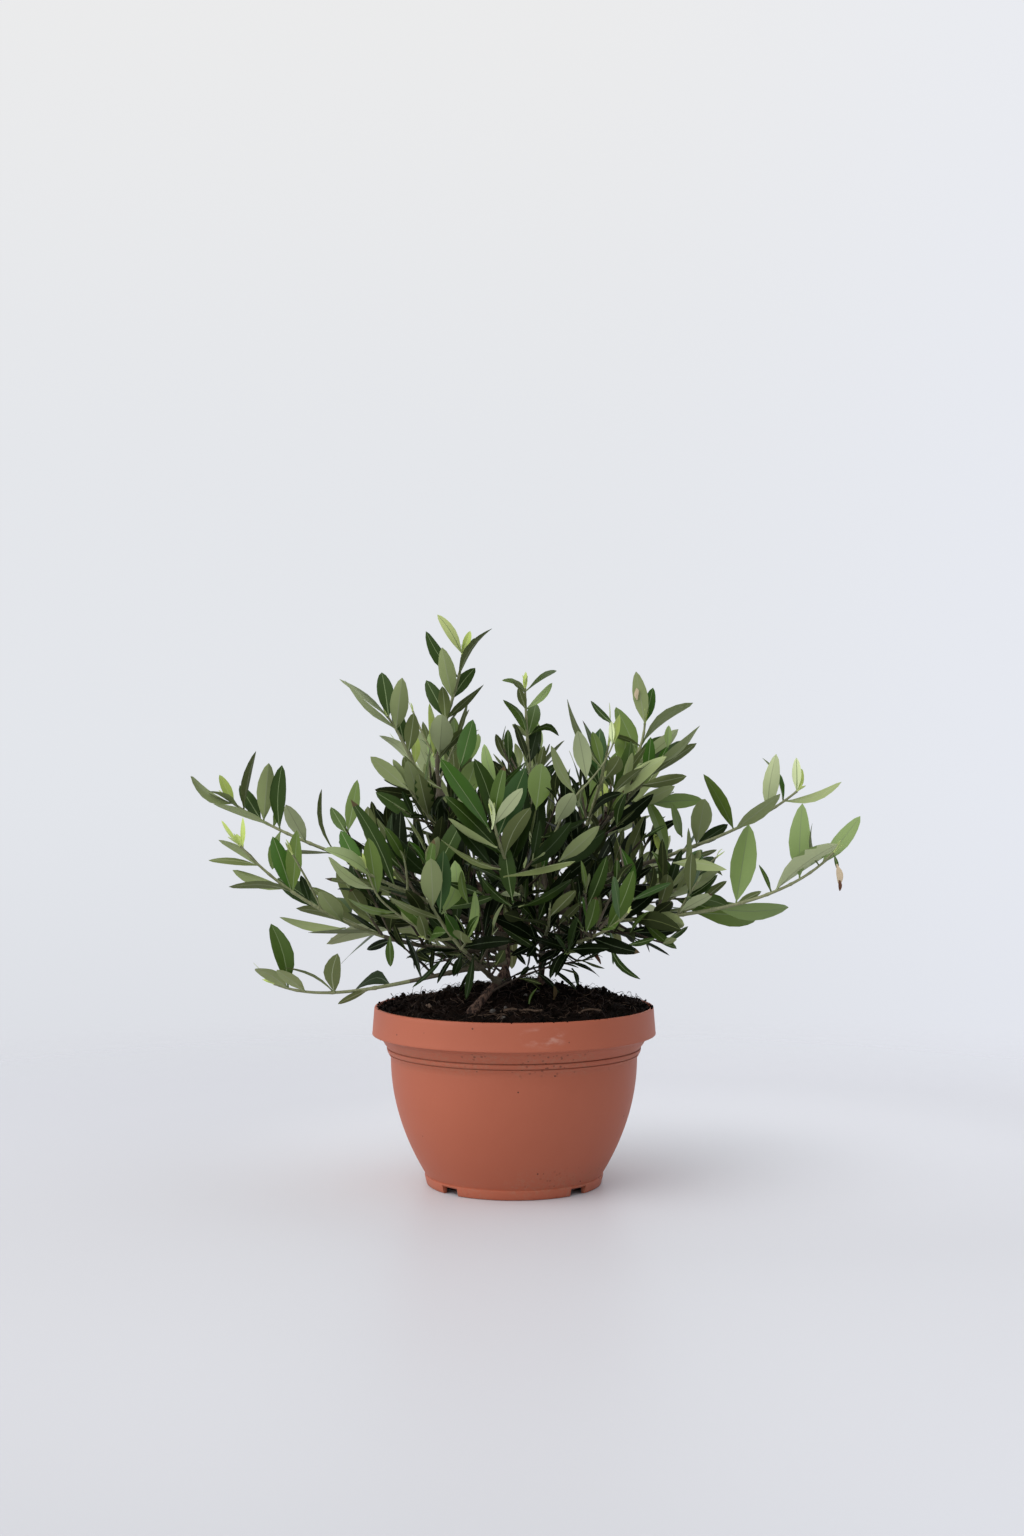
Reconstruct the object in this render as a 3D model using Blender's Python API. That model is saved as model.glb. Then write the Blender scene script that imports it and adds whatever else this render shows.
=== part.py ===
"""Young olive bush in a round plastic pot, in metres, +Z up.

Three stems rise from the soil. Boughs leave the stems, and each bough ends
where it enters a mass of foliage: one leader, its side twigs and their leaves,
grown by a seeded rule and fused into one closed body. A mass keeps to its own
space, which is every point that lies nearer its own shoot than any other.
"""

import math
import random

import bmesh
import bpy
import numpy as np
from mathutils import Matrix, Vector
from mathutils.geometry import delaunay_2d_cdt

# Pot
ROUND_STEPS = 40
POT_HEIGHT = 0.1248
RIM_TOP_RADIUS = 0.0986
RIM_FOOT_RADIUS = 0.1000
RIM_DROP = 0.0195
RIM_BEVEL = 0.0006
NECK_RADIUS = 0.0922
NECK_Z = 0.1004
COVE_RADIUS = 0.0898
COVE_Z = 0.0955
BODY_TOP_RADIUS = 0.0870
BODY_TOP_Z = 0.0898
BODY_FOOT_RADIUS = 0.0622
BODY_FOOT_Z = 0.0068
BODY_POWER = 2.05
BODY_STEPS = 5
FOOT_RADIUS = 0.0615
FOOT_RING_WALL = 0.0024
PLATE_Z = 0.0070
WALL = 0.0022
RIM_WALL = 0.0040
INSIDE_LEVELS = (0.035, 0.065)
NOTCH_COUNT = 4
NOTCH_WIDTH = 0.014
NOTCH_HEIGHT = 0.0048
DRAIN_COUNT = 4
DRAIN_RADIUS = 0.005
DRAIN_CIRCLE = 0.036
DRAIN_STEPS = 12

# Soil
SOIL_EDGE_Z = 0.1232
SOIL_CROWN = 0.005
MOUND_HEIGHT = 0.0095
MOUND_CENTRE = (0.006, 0.022)
MOUND_SPREAD = 0.050
SOIL_RINGS = ((0.079, 26), (0.058, 20), (0.037, 14), (0.014, 7))
RING_TWIST = 40.0
SEAT_STEPS = 8
SEAT_MARGIN = 0.0025
SEAT_REACH = 1.5

# Clearances
GAP = 0.0003
SPACE_MARGIN = 0.0015
LIMB_MARGIN = 0.0015
SOIL_MARGIN = 0.005
POT_MARGIN = 0.006

# Limbs
CURVE_POINTS = 40
LATEST_START = 0.5
LEAVE_HANDLE = 0.36
ARRIVE_HANDLE = 0.28
STEM_RINGS = 12
FLARE_RINGS = 3
FLARED_SHARE = 0.10
BOUGH_RINGS = 5
BOUGH_SIDES = 5
TWIG_SIDES = 3
LEADER_RADIUS = 0.0015
LEADER_TIP_RADIUS = 0.0009
BOUGH_GAIN = 1.35
TWIG_RADIUS = 0.0009
TWIG_TIP_RADIUS = 0.0007
TIP_STUB = 0.0015
FLARE_LENGTH = 0.012
FLARE_GAIN = 0.75

# Where leaves and side twigs grow on an axis, and how they lean (degrees)
FIRST_NODE = 0.10
NODE_CROWDING = 1.35
ROLL_SCATTER = 0.22
SPREAD_LOW = 62
SPREAD_TIP = 28
SPREAD_RANGE = (0.8, 1.2)
LIFT_RANGE = (0.6, 1.4)
FACE_TO_TIP = 0.6
FACE_TO_SKY = 0.5
LEAF_TWIST = 0.55
TWIG_SHARE = 0.55
SHORTEST_TWIG = 0.022
LONGEST_TWIG = 0.062
TWIG_STRETCH_RANGE = (0.75, 1.25)
FOUR_PAIR_SPAN = 0.045
TWIG_ANGLE = 48.7
TWIG_LIFT = 0.25
TWIG_FOLLOW = 0.5
TWIG_BEND = 0.35
TWIG_POINTS = 12
TWIG_LEAF_SIZE = 0.86

# Leaf sizes: shares of a shoot's own leaf length, and of that leaf's length
END_SIZE = 0.82
MIDDLE_GAIN = 0.28
TIP_LOSS = 0.22
LENGTH_RANGE = (0.88, 1.12)
WIDTH_RANGE = (0.30, 0.39)
LEAF_THICKNESS = 0.0010
LEAF_ROOT_OFFSET = 0.0003
LEAF_ROOT_HEIGHT = 0.0004
LEAF_WIDEST = 0.46
LEAF_FOLD = 0.14

# Tests for leaves that would touch: shares of the blade, and distances
FREE_ROOT = 0.10
LEAF_CLEARANCE = 0.0008
TWIG_MARGIN = 0.0016
SPACE_SHARES = np.array([0.25, 0.5, 0.75, 1.0])
BLADE_SHARES = np.array([0.3, 0.5, 0.7, 0.9])
LINE_SHARES = np.array([0.15, 0.3, 0.5, 0.7, 0.85, 1.0])

UP = np.array([0.0, 0.0, 1.0])

# Each stem: its foot on the soil, points up to its tip, radii at foot and tip, sides.
STEMS = {
    "trunk": {
        "foot": (-0.029, -0.058), "radii": (0.0042, 0.0015), "sides": 10,
        "points": ((-0.005, -0.035, 0.158), (-0.015, -0.018, 0.193), (-0.040, -0.004, 0.234),
                   (-0.052, 0.004, 0.272))},
    "right_stem": {
        "foot": (0.019, 0.014), "radii": (0.0035, 0.0014), "sides": 8,
        "points": ((0.023, 0.013, 0.177), (0.042, 0.016, 0.223), (0.066, 0.020, 0.261))},
    "back_stem": {
        "foot": (-0.004, 0.040), "radii": (0.0033, 0.0014), "sides": 8,
        "points": ((-0.010, 0.056, 0.176), (-0.001, 0.075, 0.220), (0.005, 0.086, 0.252))},
}

# Each shoot: its stem, the share of the stem's length where it leaves, its tip,
# elevation in degrees where it leaves and at its tip, share of it that is bare
# bough, leaf pairs on its leader, side twigs, leaf length in mm, lift, seed.
SHOOT_FIELDS = (
    "stem", "share", "tip", "leave", "arrive", "bare", "pairs", "twigs", "leaf", "lift", "seed")
SHOOTS = {
    "left_long": ("trunk", 0.50, (-0.205, 0.010, 0.271), 20, 36, 0.30, 9, 1, 46, 0.60, 83),
    "left_low": ("trunk", 0.33, (-0.188, -0.040, 0.239), -10, 50, 0.32, 7, 3, 40, 0.45, 613),
    "left_hanging": ("trunk", 0.26, (-0.163, -0.055, 0.146), -6, 24, 0.30, 5, 1, 38, 0.45, 96),
    "left_back_low": ("trunk", 0.46, (-0.124, 0.055, 0.179), 6, 24, 0.30, 9, 1, 48, 0.15, 64),
    "left_front": ("trunk", 0.37, (-0.103, -0.105, 0.227), 24, 24, 0.30, 9, 4, 54, 0.45, 506),
    "front_left_low": ("trunk", 0.17, (-0.057, -0.125, 0.212), 26, 52, 0.42, 7, 2, 44, 0.45, 74),
    "left_top": ("trunk", 0.94, (-0.089, -0.012, 0.329), 44, 50, 0.10, 6, 1, 42, 0.30, 269),
    "top": ("trunk", 1.00, (-0.037, 0.018, 0.374), 80, 86, 0.00, 9, 2, 32, 0.60, 737),
    "left_high": ("trunk", 0.72, (-0.071, -0.050, 0.278), 38, 42, 0.25, 9, 3, 42, 0.60, 184),
    "front_middle": ("right_stem", 0.30, (-0.014, -0.118, 0.263), 32, 62, 0.30, 9, 4, 50, 0.45, 216),
    "front_right_low": ("right_stem", 0.16, (0.074, -0.115, 0.199), 16, 30, 0.32, 5, 2, 38, 0.30, 8),
    "front_right_up": ("right_stem", 0.62, (0.064, -0.058, 0.308), 40, 62, 0.20, 7, 4, 42, 0.60, 244),
    "top_middle": ("right_stem", 0.40, (0.008, 0.026, 0.350), 74, 88, 0.35, 7, 1, 30, 0.60, 222),
    "top_right": ("right_stem", 1.00, (0.095, 0.036, 0.325), 62, 88, 0.00, 6, 1, 40, 0.45, 204),
    "right_high": ("right_stem", 0.84, (0.103, 0.000, 0.296), 42, 48, 0.20, 9, 3, 44, 0.60, 278),
    "right_long": ("right_stem", 0.52, (0.202, 0.012, 0.276), 18, 40, 0.26, 5, 1, 42, 0.30, 323),
    "right_low": ("right_stem", 0.34, (0.218, -0.050, 0.235), 2, 48, 0.28, 9, 1, 52, 0.30, 1),
    "right_middle": ("right_stem", 0.385, (0.132, 0.030, 0.215), 14, 46, 0.30, 6, 3, 54, 0.30, 439),
    "right_drooping": ("right_stem", 0.26, (0.102, -0.030, 0.184), 12, -20, 0.30, 5, 1, 42, 0.60, 626),
    "back_left_low": ("back_stem", 0.30, (-0.093, 0.155, 0.205), 20, 42, 0.28, 9, 1, 42, 0.15, 784),
    "back_left_high": ("back_stem", 0.72, (-0.073, 0.140, 0.298), 70, 66, 0.20, 6, 3, 48, 0.45, 659),
    "back_top": ("back_stem", 1.00, (0.018, 0.110, 0.302), 62, 78, 0.00, 9, 3, 36, 0.60, 166),
    "back_right_high": ("back_stem", 0.60, (0.098, 0.140, 0.279), 22, 60, 0.22, 7, 1, 54, 0.60, 507),
    "back_right_low": ("back_stem", 0.36, (0.111, 0.150, 0.214), 16, 56, 0.28, 9, 2, 42, 0.15, 30),
    "inner_left": ("trunk", 0.60, (-0.060, 0.045, 0.217), 14, 18, 0.00, 8, 3, 48, 0.30, 511),
    "inner_right": ("right_stem", 0.44, (0.075, 0.050, 0.216), 10, 26, 0.00, 5, 3, 42, 0.60, 470),
    "inner_front": ("right_stem", 0.22, (0.024, -0.070, 0.198), 20, 50, 0.00, 6, 2, 40, 0.30, 413),
    "back_low": ("back_stem", 0.20, (0.005, 0.180, 0.217), 22, 50, 0.28, 7, 3, 40, 0.30, 285),
    "low_back": ("back_stem", 0.13, (-0.062, 0.100, 0.159), 12, 6, 0.30, 7, 2, 38, 0.15, 288),
}

# Leaves that can be told apart near the tips of the outer shoots: mm back from the tip, mm long,
# degrees from the right towards the top, width share as seen, and whether the tip leans near or far
SHOWN_FIELDS = ("back", "length", "angle", "wide", "leans")
SHOWN_LEAVES = {
    "top": (
        (0, 34, 122, 0.22, "far"), (0, 18, 72, 0.30, "far"), (0, 15, 56, 0.24, "far"),
        (17, 42, 55, 0.11, "near"), (17, 41, 125, 0.24, "far"), (33, 37, 101, 0.33, "near"),
        (33, 28, 55, 0.36, "far"), (48, 36, 42, 0.16, "near"), (48, 32, 118, 0.36, "far"),
        (50, 25, 95, 0.34, "near")),
    "left_top": (
        (0, 42, 142, 0.11, "near"), (2, 34, 101, 0.36, "far"), (10, 47, 136, 0.12, "near"),
        (12, 36, 81, 0.37, "near"), (24, 30, 106, 0.30, "far"), (30, 28, 80, 0.34, "near"),
        (44, 36, 137, 0.20, "near"), (40, 26, 95, 0.22, "far")),
    "top_middle": (
        (2, 14, 88, 0.24, "far"), (3, 28, 35, 0.12, "far"), (3, 19, 152, 0.15, "far"),
        (3, 12, 137, 0.42, "near"), (15, 27, 45, 0.20, "far"), (15, 16, 110, 0.34, "near"),
        (35, 32, 123, 0.20, "far"), (35, 23, 2, 0.20, "far"), (35, 14, 140, 0.34, "near"),
        (36, 27, 76, 0.40, "far")),
    "top_right": (
        (0, 38, 100, 0.29, "near"), (0, 27, 76, 0.32, "far"), (1, 24, 80, 0.13, "far"),
        (17, 48, 40, 0.14, "near"), (17, 24, 160, 0.14, "near"), (24, 38, 112, 0.36, "far"),
        (24, 26, 30, 0.34, "far")),
    "right_high": (
        (3, 16, 62, 0.30, "far"), (3, 40, 45, 0.18, "near"), (14, 29, 84, 0.30, "far"),
        (16, 44, 36, 0.16, "near"), (22, 34, 12, 0.24, "near")),
    "left_long": (
        (7, 23, 116, 0.31, "far"), (7, 33, 143, 0.12, "near"), (11, 22, 149, 0.18, "near"),
        (15, 43, 76, 0.10, "near"), (30, 30, 124, 0.33, "far"), (32, 42, 83, 0.29, "near"),
        (38, 43, 159, 0.14, "near"), (40, 20, 77, 0.28, "far"), (45, 46, 87, 0.26, "far"),
        (46, 29, -104, 0.27, "far"), (66, 29, 113, 0.42, "near")),
    "left_low": (
        (1, 23, 128, 0.15, "far"), (2, 11, 120, 0.24, "far"), (2, 21, 90, 0.20, "far"),
        (19, 34, 173, 0.12, "near"), (22, 37, 148, 0.17, "near"), (44, 39, 160, 0.17, "near"),
        (46, 39, 174, 0.13, "near"), (47, 40, 111, 0.30, "far"), (48, 43, 85, 0.28, "far"),
        (62, 20, 110, 0.30, "far")),
    "left_hanging": (
        (0, 20, 136, 0.10, "far"), (10, 45, 107, 0.27, "far"), (10, 25, 140, 0.44, "near"),
        (22, 24, 132, 0.42, "near"), (42, 38, 153, 0.09, "near"), (42, 30, 81, 0.40, "near"),
        (66, 24, -155, 0.20, "near"), (80, 27, -167, 0.25, "far")),
    "right_long": (
        (0, 24, 90, 0.26, "far"), (0, 17, 70, 0.25, "far"), (12, 43, 19, 0.13, "near"),
        (12, 34, 114, 0.14, "far"), (26, 42, 82, 0.26, "near"), (52, 39, 41, 0.25, "near"),
        (53, 45, 118, 0.20, "far"), (82, 34, 86, 0.44, "near"), (82, 28, 32, 0.30, "far")),
    "right_low": (
        (12, 43, 50, 0.23, "far"), (14, 30, 101, 0.12, "near"), (30, 52, 87, 0.27, "far"),
        (50, 52, 41, 0.22, "near"), (52, 21, 113, 0.12, "far"), (78, 56, 79, 0.32, "far"),
        (78, 20, 26, 0.30, "near"), (92, 52, 0, 0.25, "far"), (108, 48, -7, 0.38, "far")),
}
EDGE_ON_WIDTH = 0.30
FULL_WIDTH = 0.34
SHOWN_TILT = 6
SHOWN_TILT_STEP = 9
TILT_TRIALS = (0, 14, -14, 26)
SHOWN_CLEAR = 0.006
NODE_MERGE = 0.003
SHOWN_FACE = (0.15, 1.0, 0.35)
EDGE_ON_FACE = (0.0, 1.0, 0.0)


def unit(vector):
    return vector / max(float(np.linalg.norm(vector)), 1e-12)


def smooth_curve(points, count):
    """Points on a Catmull-Rom curve through the given ones."""
    knots = np.asarray(points, float)
    knots = np.vstack([2 * knots[0] - knots[1], knots, 2 * knots[-1] - knots[-2]])
    spans = len(points) - 1
    place = np.linspace(0, spans, count)
    first = np.minimum(place.astype(int), spans - 1)
    t = (place - first)[:, None]
    a, b, c, d = (knots[first + k] for k in range(4))
    return 0.5 * (2 * b + (c - a) * t + (2 * a - 5 * b + 4 * c - d) * t ** 2
                  + (3 * b - a - 3 * c + d) * t ** 3)


def run_of(path):
    """Distance along a path, at each of its points."""
    steps = np.linalg.norm(np.diff(path, axis=0), axis=1)
    return np.concatenate([[0.0], np.cumsum(steps)])


def even(path, count, start=0.0, end=1.0):
    """Evenly spaced points on a path between two shares of its length."""
    run = run_of(path)
    wanted = np.linspace(start, end, count) * run[-1]
    return np.stack([np.interp(wanted, run, path[:, k]) for k in range(3)], axis=1)


def shoot_curve(start, tip, leave, arrive, along=None):
    """Cubic curve in an upright plane, with its slope given at both ends."""
    chord = tip - start
    level = unit(chord * (1.0, 1.0, 0.0))

    def heading(degrees):
        return level * math.cos(math.radians(degrees)) + UP * math.sin(math.radians(degrees))

    out = heading(leave) if along is None else along
    second = start + out * np.linalg.norm(chord) * LEAVE_HANDLE
    third = tip - heading(arrive) * np.linalg.norm(chord) * ARRIVE_HANDLE
    t = np.linspace(0, 1, CURVE_POINTS)[:, None]
    curve = ((1 - t) ** 3 * start + 3 * (1 - t) ** 2 * t * second
             + 3 * (1 - t) * t ** 2 * third + t ** 3 * tip)
    return even(curve, CURVE_POINTS)


def frames(path):
    """Unit tangents, and side vectors that turn as little as they can."""
    tangents = np.gradient(path, axis=0)
    tangents /= np.linalg.norm(tangents, axis=1)[:, None]
    side = np.cross(tangents[0], UP)
    if np.linalg.norm(side) < 0.2:
        side = np.cross(tangents[0], (1.0, 0.0, 0.0))
    sides = []
    for tangent in tangents:
        side = unit(side - tangent * (side @ tangent))
        sides.append(side)
    return tangents, np.array(sides)


def look(path, tangents, sides, share):
    """Point, tangent and side at a share of an evenly spaced path."""
    place = share * (len(path) - 1)
    k = min(int(place), len(path) - 2)
    t = place - k
    point = path[k] * (1 - t) + path[k + 1] * t
    tangent = unit(tangents[k] * (1 - t) + tangents[k + 1] * t)
    side = unit(sides[k] * (1 - t) + sides[k + 1] * t)
    return point, tangent, side


def mound(x, y):
    """Height of the loose soil: highest behind the middle, lowest at the pot's wall."""
    outward = math.hypot(x, y) / (RIM_TOP_RADIUS - WALL)
    away = math.hypot(x - MOUND_CENTRE[0], y - MOUND_CENTRE[1]) / MOUND_SPREAD
    heap = MOUND_HEIGHT * math.exp(-away ** 2) * (1 - outward ** 4)
    return SOIL_EDGE_Z + SOIL_CROWN * (1 - outward ** 2) + heap


def stem_paths():
    paths = {}
    for name, stem in STEMS.items():
        x, y = stem["foot"]
        points = [(x, y, mound(x, y) + GAP), *stem["points"]]
        paths[name] = even(smooth_curve(points, 2 * CURVE_POINTS), CURVE_POINTS)
    return paths


def shoot_paths(stems):
    paths = {}
    for name, row in SHOOTS.items():
        shoot = dict(zip(SHOOT_FIELDS, row))
        stem = stems[shoot["stem"]]
        start = even(stem, 2, shoot["share"], 1.0)[0]
        along = unit(stem[-1] - stem[-2]) if shoot["share"] == 1.0 else None
        tip = np.array(shoot["tip"])
        paths[name] = shoot_curve(start, tip, shoot["leave"], shoot["arrive"], along)
    return paths


def grow_leaf(rng, base, tangent, radial, spread, length, lift):
    """A leaf that leans away from its twig and up, its face to the tip and the sky."""
    up = UP * lift * rng.uniform(*LIFT_RANGE)
    way = unit(tangent * math.cos(spread) + radial * math.sin(spread) + up)
    to_tip = tangent - way * (tangent @ way)
    to_sky = UP - way * (UP @ way)
    face = unit(FACE_TO_TIP * to_tip + FACE_TO_SKY * to_sky)
    twist = rng.gauss(0, LEAF_TWIST)
    face = unit(face * math.cos(twist) + np.cross(way, face) * math.sin(twist))
    length = length * rng.uniform(*LENGTH_RANGE)
    width = length * rng.uniform(*WIDTH_RANGE)
    return {"base": base, "way": way, "face": face, "length": length, "width": width}


def node_shares(pairs):
    """Shares of an axis at which its leaf pairs stand, closer towards the tip."""
    x = np.linspace(0, 1, pairs)
    return FIRST_NODE + (1 - FIRST_NODE) * (1 - (1 - x) ** NODE_CROWDING)


def axis_spine(path, shares):
    """A path's start, its nodes, and an end just past the last of them."""
    tangents, sides = frames(path)
    nodes = [look(path, tangents, sides, share)[0] for share in shares]
    return np.array([path[0], *nodes, nodes[-1] + tangents[-1] * TIP_STUB])


def shown_share(path, row):
    """Share of a path at which a shown leaf stands."""
    return 1 - row[0] / 1000 / run_of(path)[-1]


def shown_reach(name):
    """Length of a shoot's tip that bears only the leaves of the table."""
    if name not in SHOWN_LEAVES:
        return 0.0
    return max(row[0] for row in SHOWN_LEAVES[name]) / 1000 + SHOWN_CLEAR


def leader_shares(name, path, shoot):
    """A leader's nodes: the rule's up to the shown tip or where they bear twigs, and the table's."""
    length = run_of(path)[-1]
    shares = [
        share for node, share in enumerate(node_shares(shoot["pairs"]))
        if node < shoot["twigs"] or (1 - share) * length > shown_reach(name)]
    for row in sorted(SHOWN_LEAVES.get(name, ())):
        share = shown_share(path, row)
        if all(abs(share - other) * length > NODE_MERGE for other in shares):
            shares.append(share)
    return sorted(shares)


def shown_leaf(path, row, number, extra_tilt):
    """A leaf of the table. A narrow view means it is rolled edge on, a broad one that it leans."""
    item = dict(zip(SHOWN_FIELDS, row))
    tangents, sides = frames(path)
    base = look(path, tangents, sides, shown_share(path, row))[0]
    away = -1 if item["leans"] == "near" else 1
    tilt = math.radians(SHOWN_TILT + SHOWN_TILT_STEP * (number % 2) + extra_tilt)
    if item["wide"] > FULL_WIDTH:
        tilt += math.acos(FULL_WIDTH / item["wide"])
    angle = math.radians(item["angle"])
    way = np.array([
        math.cos(angle) * math.cos(tilt), away * math.sin(tilt), math.sin(angle) * math.cos(tilt)])
    edge_on = item["wide"] < EDGE_ON_WIDTH
    face = np.array(EDGE_ON_FACE if edge_on else SHOWN_FACE) * (1, -away, 1)
    face = unit(face - way * (way @ face))
    if edge_on:
        roll = math.acos(item["wide"] / EDGE_ON_WIDTH) * (1 if number % 2 else -1)
        face = unit(face * math.cos(roll) + np.cross(way, face) * math.sin(roll))
    length = item["length"] / 1000 / math.cos(tilt)
    width = length * min(max(item["wide"], EDGE_ON_WIDTH), FULL_WIDTH)
    return {"base": base, "way": way, "face": face, "length": length, "width": width}


def grow_axis(rng, path, pairs, leaf_length, lift, twigs=0):
    """Leaves in crossed pairs along a path, and side twigs from its lowest nodes."""
    tangents, sides = frames(path)
    length = run_of(path)[-1]
    leaves = []
    side_twigs = []
    first_roll = rng.uniform(0, math.pi)
    for node, share in enumerate(node_shares(pairs)):
        x = node / (pairs - 1)
        base, tangent, side = look(path, tangents, sides, share)
        other = np.cross(tangent, side)
        roll = first_roll + node * math.pi / 2 + rng.gauss(0, ROLL_SCATTER)
        spread = math.radians(SPREAD_LOW + (SPREAD_TIP - SPREAD_LOW) * x)
        size = leaf_length * (END_SIZE + MIDDLE_GAIN * math.sin(math.pi * x)) * (1 - TIP_LOSS * x ** 4)
        twig_turn = rng.choice((0, 1))
        for turn in (0, 1):
            angle = roll + turn * math.pi
            radial = side * math.cos(angle) + other * math.sin(angle)
            lean = spread * rng.uniform(*SPREAD_RANGE)
            leaf = grow_leaf(rng, base, tangent, radial, lean, size, lift)
            stretch = rng.uniform(*TWIG_STRETCH_RANGE)
            outward = radial * rng.uniform(*SPREAD_RANGE)
            twig_seed = int(rng.random() * 1e6)
            if node < twigs and turn == twig_turn:
                span = TWIG_SHARE * (1 - share) * length
                span = min(max(span, SHORTEST_TWIG), LONGEST_TWIG) * stretch
                side_twigs.append(grow_twig(twig_seed, base, tangent, outward, span, leaf_length, lift))
            else:
                leaves.append(leaf)
    return leaves, side_twigs


def grow_twig(seed, base, tangent, radial, span, leaf_length, lift):
    """A side twig that leans out from its node and bends to the leader's way and up."""
    angle = math.radians(TWIG_ANGLE)
    way = unit(tangent * math.cos(angle) + radial * math.sin(angle) + UP * TWIG_LIFT)
    later_way = unit(way + tangent * TWIG_FOLLOW + UP * TWIG_LIFT)
    t = np.linspace(0, 1, TWIG_POINTS)[:, None]
    path = base + span * (way * (t - TWIG_BEND * t ** 2) + later_way * TWIG_BEND * t ** 2)
    pairs = 3 if span < FOUR_PAIR_SPAN else 4
    leaves, _ = grow_axis(random.Random(seed), path, pairs, leaf_length * TWIG_LEAF_SIZE, lift)
    return path, pairs, leaves


class Space:
    """Tells whether points keep to one mass's own space, clear of limbs, soil and pot."""

    def __init__(self, shoots, limbs):
        self.points = np.vstack(list(shoots.values()))
        self.owner = np.repeat(list(shoots), [len(path) for path in shoots.values()])
        self.limb_points = np.vstack([path for path, _ in limbs])
        self.limb_radii = np.concatenate([np.linspace(*radii, len(path)) for path, radii in limbs])

    def holds(self, name, points, margin):
        distance = np.linalg.norm(points[:, None] - self.points[None], axis=2)
        own = self.owner == name
        if (distance[:, own].min(axis=1) + margin > distance[:, ~own].min(axis=1)).any():
            return False
        to_limb = np.linalg.norm(points[:, None] - self.limb_points[None], axis=2) - self.limb_radii
        if (to_limb < LIMB_MARGIN).any():
            return False
        over_pot = np.hypot(points[:, 0], points[:, 1]) < RIM_FOOT_RADIUS + POT_MARGIN
        ground = SOIL_EDGE_Z + SOIL_CROWN + MOUND_HEIGHT + SOIL_MARGIN
        return not (over_pot & (points[:, 2] < ground)).any()


def half_width(width, share):
    """Half of a leaf's width at a share of its length: blunt root, tapered tip."""
    return width / 2 * np.sin(math.pi * np.clip(share, 0, 1) ** 0.9) ** 0.85


def leaf_lines(leaf, shares):
    """Points along a leaf's two edges and its rib, as an array of three rows."""
    side = np.cross(leaf["face"], leaf["way"]) * half_width(leaf["width"], shares)[:, None]
    rib = leaf["base"] + leaf["way"] * (leaf["length"] * shares)[:, None]
    return np.stack([rib - side, rib, rib + side])


class Foliage:
    """The leaves already in a mass, and a test for one that would pass through them."""

    def __init__(self, axes):
        self.leaves = []
        self.axes = np.vstack(axes)

    def touches_twig(self, leaf):
        """True where the blade, past its root, lies on any of the mass's twigs."""
        blade = leaf_lines(leaf, BLADE_SHARES).reshape(-1, 3)
        return bool((np.linalg.norm(blade[:, None] - self.axes, axis=2) < TWIG_MARGIN).any())

    def crosses(self, leaf):
        lines = leaf_lines(leaf, LINE_SHARES)
        for other in self.leaves:
            if pierces(lines, other) or pierces(leaf_lines(other, LINE_SHARES), leaf):
                return True
        return False


def pierces(lines, leaf):
    """True where a row of points passes through, or lies on, the flat of a leaf."""
    offset = lines - leaf["base"]
    height = offset @ leaf["face"]
    share = offset @ leaf["way"] / leaf["length"]
    across = offset @ np.cross(leaf["face"], leaf["way"])
    on_blade = (share > FREE_ROOT) & (share < 1) & (abs(across) < half_width(leaf["width"], share))
    if (on_blade & (abs(height) < LEAF_CLEARANCE)).any():
        return True
    before, after = height[:, :-1], height[:, 1:]
    through = before * after < 0
    t = np.where(through, before / np.where(through, before - after, 1), 0)
    share = share[:, :-1] + (share[:, 1:] - share[:, :-1]) * t
    across = across[:, :-1] + (across[:, 1:] - across[:, :-1]) * t
    on_blade = (share > FREE_ROOT) & (share < 1) & (abs(across) < half_width(leaf["width"], share) + GAP)
    return bool((through & on_blade).any())


def mesh_from(name, vertices, faces):
    mesh = bpy.data.meshes.new(name)
    mesh.from_pydata([tuple(v) for v in vertices], [], faces)
    mesh.update()
    return mesh


def loft(name, rings):
    """Closed skin over a row of rings, with a flat face at each end."""
    count = len(rings)
    sides = len(rings[0])
    faces = [tuple(reversed(range(sides)))]
    for k in range(count - 1):
        for j in range(sides):
            n = (j + 1) % sides
            faces.append((k * sides + j, k * sides + n, (k + 1) * sides + n, (k + 1) * sides + j))
    faces.append(tuple(range((count - 1) * sides, count * sides)))
    return mesh_from(name, np.concatenate(rings), faces)


def tube(name, path, radii, sides, flare=0.0):
    """Tapered limb along a path. A flare widens its foot, which is cut level."""
    tangents, across = frames(path)
    run = run_of(path)
    angles = np.linspace(0, 2 * math.pi, sides, endpoint=False)
    rings = []
    for k, centre in enumerate(path):
        near_foot = max(0.0, 1 - run[k] / FLARE_LENGTH) if flare else 0.0
        normal = unit(tangents[k] * (1 - near_foot) + UP * near_foot)
        side = unit(across[k] - normal * (across[k] @ normal))
        other = np.cross(normal, side)
        radius = np.interp(run[k], (0, run[-1]), radii) * (1 + flare * near_foot ** 2)
        rings.append(centre + radius * (np.outer(np.cos(angles), side) + np.outer(np.sin(angles), other)))
    return loft(name, rings)


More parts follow.
